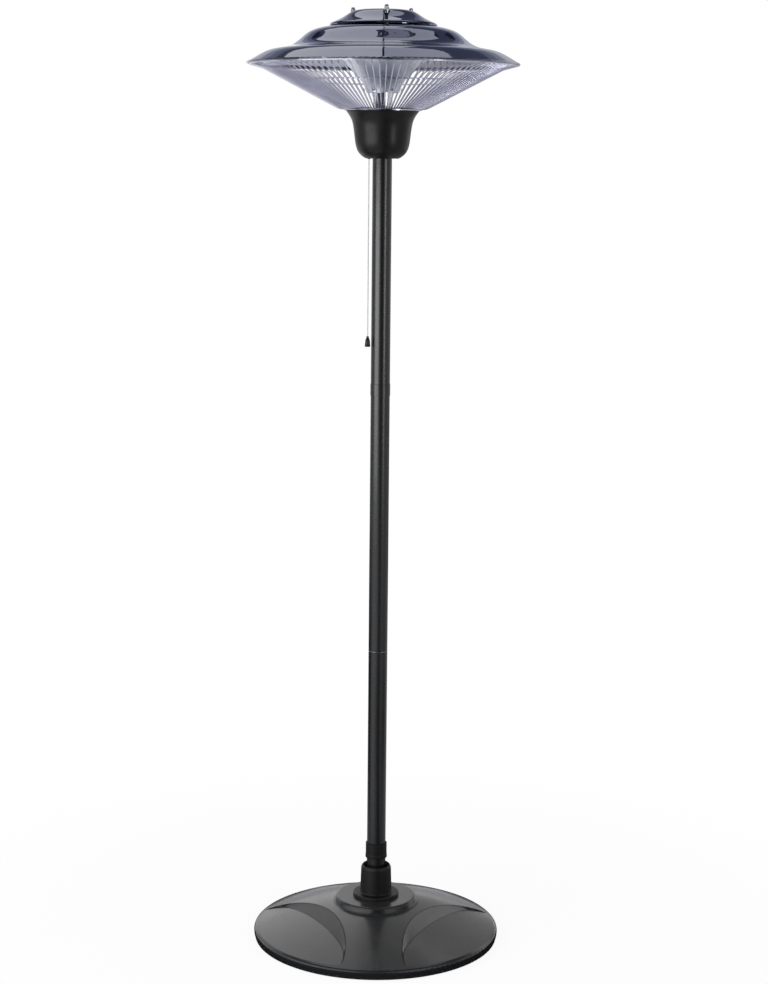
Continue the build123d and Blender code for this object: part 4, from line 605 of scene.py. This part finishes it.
@dataclass
class CageWelds:
    """Spot-weld beads where the radial wires cross the middle and outer rings; lengths in metres.

    Each ring's place holds how far its beads lie below the ring wire's centre and how far outside its
    circle.
    """

    wires: int = 112
    first_turn: float = math.radians(1.607)
    bead: float = 0.0015
    stretch: float = 1.4
    around: int = 8
    levels: int = 5
    mid_place: tuple[float, float] = (0.0012, 0.0006)
    outer_place: tuple[float, float] = (-0.0004, -0.0012)

    def beads(self, ring: str, drop: float, outward: float) -> np.ndarray:
        """Finds the weld centres of one ring, a little off its own wire.

        Args:
            ring: The ring's node.
            drop: Height of the weld below the ring wire's centre.
            outward: How far the weld lies outside the ring's circle; negative is inside.

        Returns:
            One row of x, y, z for each wire.
        """
        low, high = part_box(ring)
        wire_radius = (high.z - low.z) / 2
        circle = high.x - wire_radius + outward
        turn = FRONT + self.first_turn + np.arange(self.wires) * FULL_TURN / self.wires
        height = np.full(self.wires, (high.z + low.z) / 2 - drop)
        return np.stack([circle * np.cos(turn), circle * np.sin(turn), height], -1)

    def build(self, wardrobe: Wardrobe) -> bpy.types.Object:
        """Makes all the beads as one mesh of small eggs stretched along their wires.

        point = centre + bead * (stretch cos(v) cos(u) out + cos(v) sin(u) side + sin(v) up)

        Args:
            wardrobe: The finishes.

        Returns:
            The piece.
        """
        centres = np.concatenate([self.beads("cage_mid_ring", *self.mid_place),
                                  self.beads("cage_outer_ring", *self.outer_place)])
        u = np.linspace(0, FULL_TURN, self.around, endpoint=False)
        v = np.linspace(-math.pi / 2, math.pi / 2, self.levels + 2)[1:-1]
        grid_v, grid_u = np.meshgrid(v, u, indexing="ij")
        egg = np.stack([self.stretch * np.cos(grid_v) * np.cos(grid_u), np.cos(grid_v) * np.sin(grid_u),
                        np.sin(grid_v)], -1).reshape(-1, 3)
        egg = np.concatenate([egg, [[0, 0, -1.0], [0, 0, 1.0]]]) * self.bead
        out = centres[:, :2] / np.linalg.norm(centres[:, :2], axis=1)[:, None]
        x = centres[:, None, 0] + egg[None, :, 0] * out[:, None, 0] - egg[None, :, 1] * out[:, None, 1]
        y = centres[:, None, 1] + egg[None, :, 0] * out[:, None, 1] + egg[None, :, 1] * out[:, None, 0]
        z = centres[:, None, 2] + egg[None, :, 2]
        points = np.stack([x, y, z], -1).reshape(-1, 3)
        n, m = self.around, self.levels
        i, j = np.meshgrid(np.arange(m - 1), np.arange(n), indexing="ij")
        k = (j + 1) % n
        wall = np.stack([i * n + j, i * n + k, (i + 1) * n + k, (i + 1) * n + j], -1).reshape(-1, 4)
        even = np.arange(0, n, 2)
        top = (m - 1) * n
        foot = np.stack([np.full(len(even), m * n), (even + 2) % n, even + 1, even], -1)
        head = np.stack([np.full(len(even), m * n + 1), top + even, top + even + 1, top + (even + 2) % n], -1)
        one = np.concatenate([wall, foot, head])
        faces = (one[None] + (np.arange(len(centres)) * len(egg))[:, None, None]).reshape(-1, 4)
        return wardrobe.dress(mesh_piece("cage_weld_beads", points, faces), "cage_chrome")


@dataclass
class LampCoils:
    """The wound filaments inside the three quartz tubes; lengths in metres."""

    lamps: int = 3
    circle: float = 0.122
    height: float = 2.016
    length: float = 0.084
    coil_radius: float = 0.0009
    wire_radius: float = 0.0002
    turns: int = 48
    steps_per_turn: int = 10
    wire_sides: int = 6

    def build(self, wardrobe: Wardrobe) -> bpy.types.Object:
        """Winds the coils: centre line = lamp axis * s + coil radius * (cos, sin) of 2 pi turns s.

        Args:
            wardrobe: The finishes.

        Returns:
            The piece, which stands for the plain filament rods.
        """
        share = np.linspace(0, 1, self.turns * self.steps_per_turn + 1)
        wind = FULL_TURN * self.turns * share
        points, faces = [], []
        for lamp in range(self.lamps):
            turn = FRONT + lamp * FULL_TURN / self.lamps
            out = np.array([math.cos(turn), math.sin(turn), 0.0])
            along = np.array([-math.sin(turn), math.cos(turn), 0.0])
            centre = out * self.circle + np.array([0.0, 0.0, self.height])
            loop = np.cos(wind)[:, None] * out + np.sin(wind)[:, None] * [0.0, 0.0, 1.0]
            path = centre + (share - 0.5)[:, None] * self.length * along + self.coil_radius * loop
            coil_points, coil_faces = swept_tube(path, self.wire_radius, self.wire_sides)
            faces.append(coil_faces + sum(len(p) for p in points))
            points.append(coil_points)
        piece = mesh_piece("lamp_filament_coils", np.concatenate(points), np.concatenate(faces))
        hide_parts("lamp_filaments")
        return wardrobe.dress(piece, "tungsten")


@dataclass
class PoleJointLip:
    """The bare rolled lip where the middle tube sits on the lower one; lengths in metres."""

    radius: float = 0.0214
    thickness: float = 0.0004
    height: float = 0.6745
    around: int = 128
    sides: int = 12

    def build(self, wardrobe: Wardrobe) -> bpy.types.Object:
        """Makes the lip as a ring of round section.

        point(u, v) = (reach cos u, reach sin u, height + thickness sin v), with
        reach = radius + thickness cos v.

        Args:
            wardrobe: The finishes.

        Returns:
            The piece.
        """
        i, j = np.meshgrid(np.arange(self.around), np.arange(self.sides), indexing="ij")
        u = i * FULL_TURN / self.around
        v = j * FULL_TURN / self.sides
        reach = self.radius + self.thickness * np.cos(v)
        rise = self.height + self.thickness * np.sin(v)
        points = np.stack([reach * np.cos(u), reach * np.sin(u), rise], -1)
        next_i, next_j = (i + 1) % self.around, (j + 1) % self.sides
        faces = np.stack([i * self.sides + j, next_i * self.sides + j, next_i * self.sides + next_j,
                          i * self.sides + next_j], -1)
        lip = mesh_piece("pole_joint_lip", points.reshape(-1, 3), faces.reshape(-1, 4))
        return wardrobe.dress(lip, "zinc_steel")


# ---------------------------------------------------------------- studio


@dataclass(frozen=True)
class Softbox:
    """A square light with its place in metres, its size and its power in watts."""

    name: str
    place: tuple[float, float, float]
    aim: tuple[float, float, float]
    width: float
    height: float
    power: float

    def build(self) -> bpy.types.Object:
        """Adds the lamp, turned towards its aim.

        Returns:
            The lamp.
        """
        data = bpy.data.lights.new(self.name, "AREA")
        data.shape = "RECTANGLE"
        data.size = self.width
        data.size_y = self.height
        data.energy = self.power
        lamp = bpy.data.objects.new(self.name, data)
        lamp.location = self.place
        lamp.rotation_euler = (Vector(self.aim) - Vector(self.place)).to_track_quat("-Z", "Y").to_euler()
        bpy.context.scene.collection.objects.link(lamp)
        return lamp


@dataclass(frozen=True)
class Card:
    """A sheet of board round the set that only shows in reflections; metres and an sRGB colour.

    A board with more than four corners is an oval.
    """

    name: str
    place: tuple[float, float, float]
    aim: tuple[float, float, float]
    width: float
    height: float
    colour: str
    turn: float = 0.0
    corners: int = 4

    def build(self) -> bpy.types.Object:
        """Adds the card, seen by glossy rays alone.

        Returns:
            The card.
        """
        step = FULL_TURN / self.corners
        angles = np.arange(self.corners) * step + step / 2
        outline = np.stack([np.cos(angles), np.sin(angles), np.zeros(self.corners)], -1) / math.cos(step / 2)
        outline *= np.array([self.width / 2, self.height / 2, 0.0])
        card = mesh_piece(self.name, outline, np.arange(self.corners)[None], smooth=False)
        card.location = self.place
        facing = (Vector(self.aim) - Vector(self.place)).to_track_quat("Z", "Y")
        card.rotation_euler = (facing @ Quaternion((0.0, 0.0, 1.0), self.turn)).to_euler()
        made = bpy.data.materials.new(self.name)
        made.use_nodes = True
        made.node_tree.nodes.clear()
        glow = add_node(made.node_tree, "ShaderNodeEmission", None,
                        {"Color": linear(self.colour), "Strength": 1.0})
        add_node(made.node_tree, "ShaderNodeOutputMaterial", None, {"Surface": glow.outputs["Emission"]})
        card.data.materials.append(made)
        card.visible_camera = False
        card.visible_diffuse = False
        card.visible_transmission = False
        card.visible_shadow = False
        return card


@dataclass
class Studio:
    """A pale floor and sky, soft lamps, and dark and light boards for the polished parts to reflect."""

    floor_half: float = 40.0
    ambient: float = 0.55
    floor_colour: str = "EDEDED"
    floor_glow: float = 0.92
    floor_near: float = 0.3
    floor_fade: float = 1.6
    floor_mirrored: str = "CACAD0"

    def world(self) -> None:
        """Makes the sky: white to camera, glossy and transmission rays, softer as a source of light."""
        sky = bpy.data.worlds.new("pale_sky")
        bpy.context.scene.world = sky
        sky.use_nodes = True
        tree = sky.node_tree
        tree.nodes.clear()
        rays = add_node(tree, "ShaderNodeLightPath")
        seen = add_node(tree, "ShaderNodeMath", {"operation": "MAXIMUM"},
                        {0: rays.outputs["Is Camera Ray"], 1: rays.outputs["Is Glossy Ray"]})
        seen = add_node(tree, "ShaderNodeMath", {"operation": "MAXIMUM"},
                        {0: seen.outputs["Value"], 1: rays.outputs["Is Transmission Ray"]})
        level = add_node(tree, "ShaderNodeMapRange", None,
                         {"Value": seen.outputs["Value"], "To Min": self.ambient, "To Max": 1.0})
        light = add_node(tree, "ShaderNodeBackground", None,
                         {"Color": (1.0, 1.0, 1.0, 1.0), "Strength": level.outputs["Result"]})
        add_node(tree, "ShaderNodeOutputWorld", None, {"Surface": light.outputs["Background"]})

    def floor(self) -> bpy.types.Object:
        """Lays the floor, which glows a little to the camera so that it meets the sky without a line.

        Returns:
            The floor.
        """
        half = self.floor_half
        corners = np.array([[-half, -half, 0.0], [half, -half, 0.0], [half, half, 0.0], [-half, half, 0.0]])
        ground = mesh_piece("studio_floor", corners, np.array([[0, 1, 2, 3]]), smooth=False)
        made = bpy.data.materials.new("pale_floor")
        made.use_nodes = True
        tree = made.node_tree
        tree.nodes.clear()
        rays = add_node(tree, "ShaderNodeLightPath")
        place = add_node(tree, "ShaderNodeTexCoord")
        away = add_node(tree, "ShaderNodeVectorMath", {"operation": "LENGTH"}, {0: place.outputs["Object"]})
        spread = add_node(tree, "ShaderNodeMapRange", {"interpolation_type": "SMOOTHSTEP"},
                          {"Value": away.outputs["Value"], "From Min": self.floor_near,
                           "From Max": self.floor_fade, "To Min": self.floor_glow, "To Max": 1.0})
        share = add_node(tree, "ShaderNodeMath", {"operation": "MULTIPLY"},
                         {0: rays.outputs["Is Camera Ray"], 1: spread.outputs["Result"]})
        matt = add_node(tree, "ShaderNodeBsdfDiffuse", None, {"Color": linear(self.floor_colour)})
        glow = add_node(tree, "ShaderNodeEmission", None, {"Color": (1.0, 1.0, 1.0, 1.0), "Strength": 1.0})
        mixed = add_node(tree, "ShaderNodeMixShader", None,
                         {0: share.outputs["Value"], 1: matt.outputs["BSDF"], 2: glow.outputs["Emission"]})
        mirrored = add_node(tree, "ShaderNodeEmission", None,
                            {"Color": linear(self.floor_mirrored), "Strength": 1.0})
        whole = add_node(tree, "ShaderNodeMixShader", None,
                         {0: rays.outputs["Is Glossy Ray"], 1: mixed.outputs["Shader"],
                          2: mirrored.outputs["Emission"]})
        add_node(tree, "ShaderNodeOutputMaterial", None, {"Surface": whole.outputs["Shader"]})
        ground.data.materials.append(made)
        return ground

    def build(self) -> None:
        """Sets the view transform and builds sky, floor, lamps and boards."""
        bpy.context.scene.view_settings.view_transform = "Standard"
        self.world()
        self.floor()
        for box in (
            Softbox("key_left", (-2.53, -2.27, 1.65), (0.0, 0.0, 1.65), 3.0, 2.0, 110.0),
            Softbox("fill_right", (2.6, -2.6, 1.7), (0.0, 0.0, 1.7), 0.6, 2.0, 26.0),
        ):
            box.build()
        for card in (
            # Over the head: a pale ceiling window in two panes with a dark bar, a lamp's ring, a dim ceiling.
            Card("ceiling", (0.0, 0.0, 3.72), (0.0, 0.0, 1.9), 9.0, 9.0, "2C3044"),
            Card("ceiling_near", (0.0, 1.9, 3.71), (0.0, 1.9, 1.9), 2.3, 1.4, "565A70"),
            Card("ceiling_middle", (0.0, 2.95, 3.71), (0.0, 2.95, 1.9), 9.0, 0.7, "7E8296"),
            Card("ceiling_far", (0.0, 3.9, 3.71), (0.0, 3.9, 1.9), 9.0, 1.2, "999DAE"),
            Card("window_left", (-0.55, 1.0, 3.70), (-0.55, 1.0, 1.9), 1.3, 2.1, "FFFFFF", turn=0.2),
            Card("window_right", (0.46, 0.68, 3.69), (0.46, 0.68, 1.9), 0.92, 1.2, "DCDDE2"),
            Card("window_bar", (0.0, 0.7, 3.68), (0.0, 0.7, 1.9), 0.02, 2.0, "2A2C36"),
            Card("lamp_ring", (0.25, 0.36, 3.67), (0.25, 0.36, 1.9), 0.74, 0.4, "4A4E60", corners=48),
            Card("lamp_middle", (0.27, 0.36, 3.66), (0.27, 0.36, 1.9), 0.54, 0.26, "B4B6C2", corners=48),
            # Round the head: a pale far wall, and dark walls in front and beside.
            Card("far_wall", (0.0, 4.5, 2.95), (0.0, 0.0, 2.95), 12.0, 1.5, "C6C9D6"),
            Card("behind_dark", (0.0, 4.5, 1.75), (0.0, 0.0, 1.75), 9.0, 1.0, "262B42"),
            Card("front_dark", (1.1, -6.0, 1.9), (1.1, 0.0, 1.9), 4.4, 3.4, "101114"),
            Card("front_high_dark", (0.0, -6.0, 3.1), (0.0, 0.0, 3.1), 14.0, 1.8, "1A1D28"),
            Card("left_high_dark", (-6.0, -1.5, 3.1), (0.0, -1.5, 3.1), 9.0, 1.8, "1A1D28"),
            Card("right_high_dark", (6.0, -1.5, 3.1), (0.0, -1.5, 3.1), 9.0, 1.8, "1A1D28"),
            Card("key_flag", (-1.3, -1.17, 2.25), (0.0, 0.0, 2.25), 2.6, 0.96, "1A1D28"),
            # On the floor, for the pole: the dark strip towards the camera and the dark corner behind.
            Card("floor_dark_near", (0.25, -1.0, 0.003), (0.25, -1.0, 1.0), 0.4, 1.3, "101114"),
            Card("floor_dark_far", (1.0, -3.75, 0.003), (1.0, -3.75, 1.0), 1.7, 4.3, "101114"),
            Card("floor_dark_left", (-2.3, 1.5, 0.003), (-2.3, 1.5, 1.0), 3.0, 3.0, "2A2A2C"),
            Card("floor_dark_back", (0.0, 6.2, 0.003), (0.0, 6.2, 1.0), 12.0, 6.0, "1C1E26"),
            Card("floor_light_left", (-1.35, -1.35, 0.003), (-1.35, -1.35, 1.0), 2.1, 2.1, "FFFFFF"),
            Card("floor_dark_foot", (0.0, 0.0, 0.002), (0.0, 0.0, 1.0), 1.0, 1.0, "1C1C1E"),
            # Between the lamps and the base, which would mirror the bare lamps from behind.
            Card("key_low_flag", (-0.893, -0.801, 0.56), (0.0, 0.0, 0.56), 1.7, 0.74, "FFFFFF"),
            Card("fill_low_flag", (0.849, -0.849, 0.56), (0.0, 0.0, 0.56), 1.0, 0.74, "CACAD0"),
            # Low round the base, for the plateau's wall and the rim.
            Card("low_dark_front", (0.1, -1.35, 0.13), (0.1, 0.0, 0.13), 2.2, 0.26, "0C0C0E"),
            Card("low_dark_right", (1.35, -0.45, 0.13), (0.0, 0.0, 0.13), 1.5, 0.26, "0C0C0E"),
            # Behind the base, for its pads, plateau and crescents.
            Card("pad_light", (-0.76, 2.13, 1.45), (-0.76, 0.0, 1.45), 1.28, 1.9, "FFFFFF"),
            Card("pad_grey", (0.76, 2.13, 1.45), (0.76, 0.0, 1.45), 1.28, 1.9, "B8B8B8"),
            Card("plateau_grey", (0.0, 2.1, 0.82), (0.0, 0.0, 0.1), 0.34, 0.66, "D2D2D2"),
            Card("horizon_grey", (0.0, 4.4, 0.3), (0.0, 0.0, 0.3), 3.0, 0.6, "B4B4B8"),
            Card("wall_light", (1.9, 1.74, 1.58), (0.0, 0.0, 0.1), 1.1, 1.0, "FFFFFF"),
            Card("wall_grey", (-1.9, 1.74, 1.58), (0.0, 0.0, 0.1), 1.4, 1.2, "D8D8D8"),
            Card("dome_white", (-0.5, 0.78, 1.6), (-0.5, 0.78, 0.0), 0.6, 1.36, "FFFFFF"),
            Card("dome_pale", (-0.1, 0.78, 1.6), (-0.1, 0.78, 0.0), 0.2, 1.36, "D0D0D0"),
            Card("dome_grey", (0.25, 0.78, 1.6), (0.25, 0.78, 0.0), 0.5, 1.36, "A8A8A8"),
            Card("dome_right", (0.67, 0.78, 1.6), (0.67, 0.78, 0.0), 0.34, 1.36, "E0E0E0"),
        ):
            card.build()


def main() -> None:
    """Builds the camera, the cord, the finishes, the new pieces and the studio, and logs how many solids were
    dressed.
    """
    logging.basicConfig(level=logging.INFO, format="%(name)s: %(message)s")
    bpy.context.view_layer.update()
    PhotoCamera().build()
    wardrobe = Wardrobe.stocked()
    PullCord().build(wardrobe)
    log.info("dressed %d solids of the frame", wardrobe.dress_frame())
    CageWelds().build(wardrobe)
    LampCoils().build(wardrobe)
    PoleJointLip().build(wardrobe)
    Studio().build()


if __name__ == "__main__":
    main()
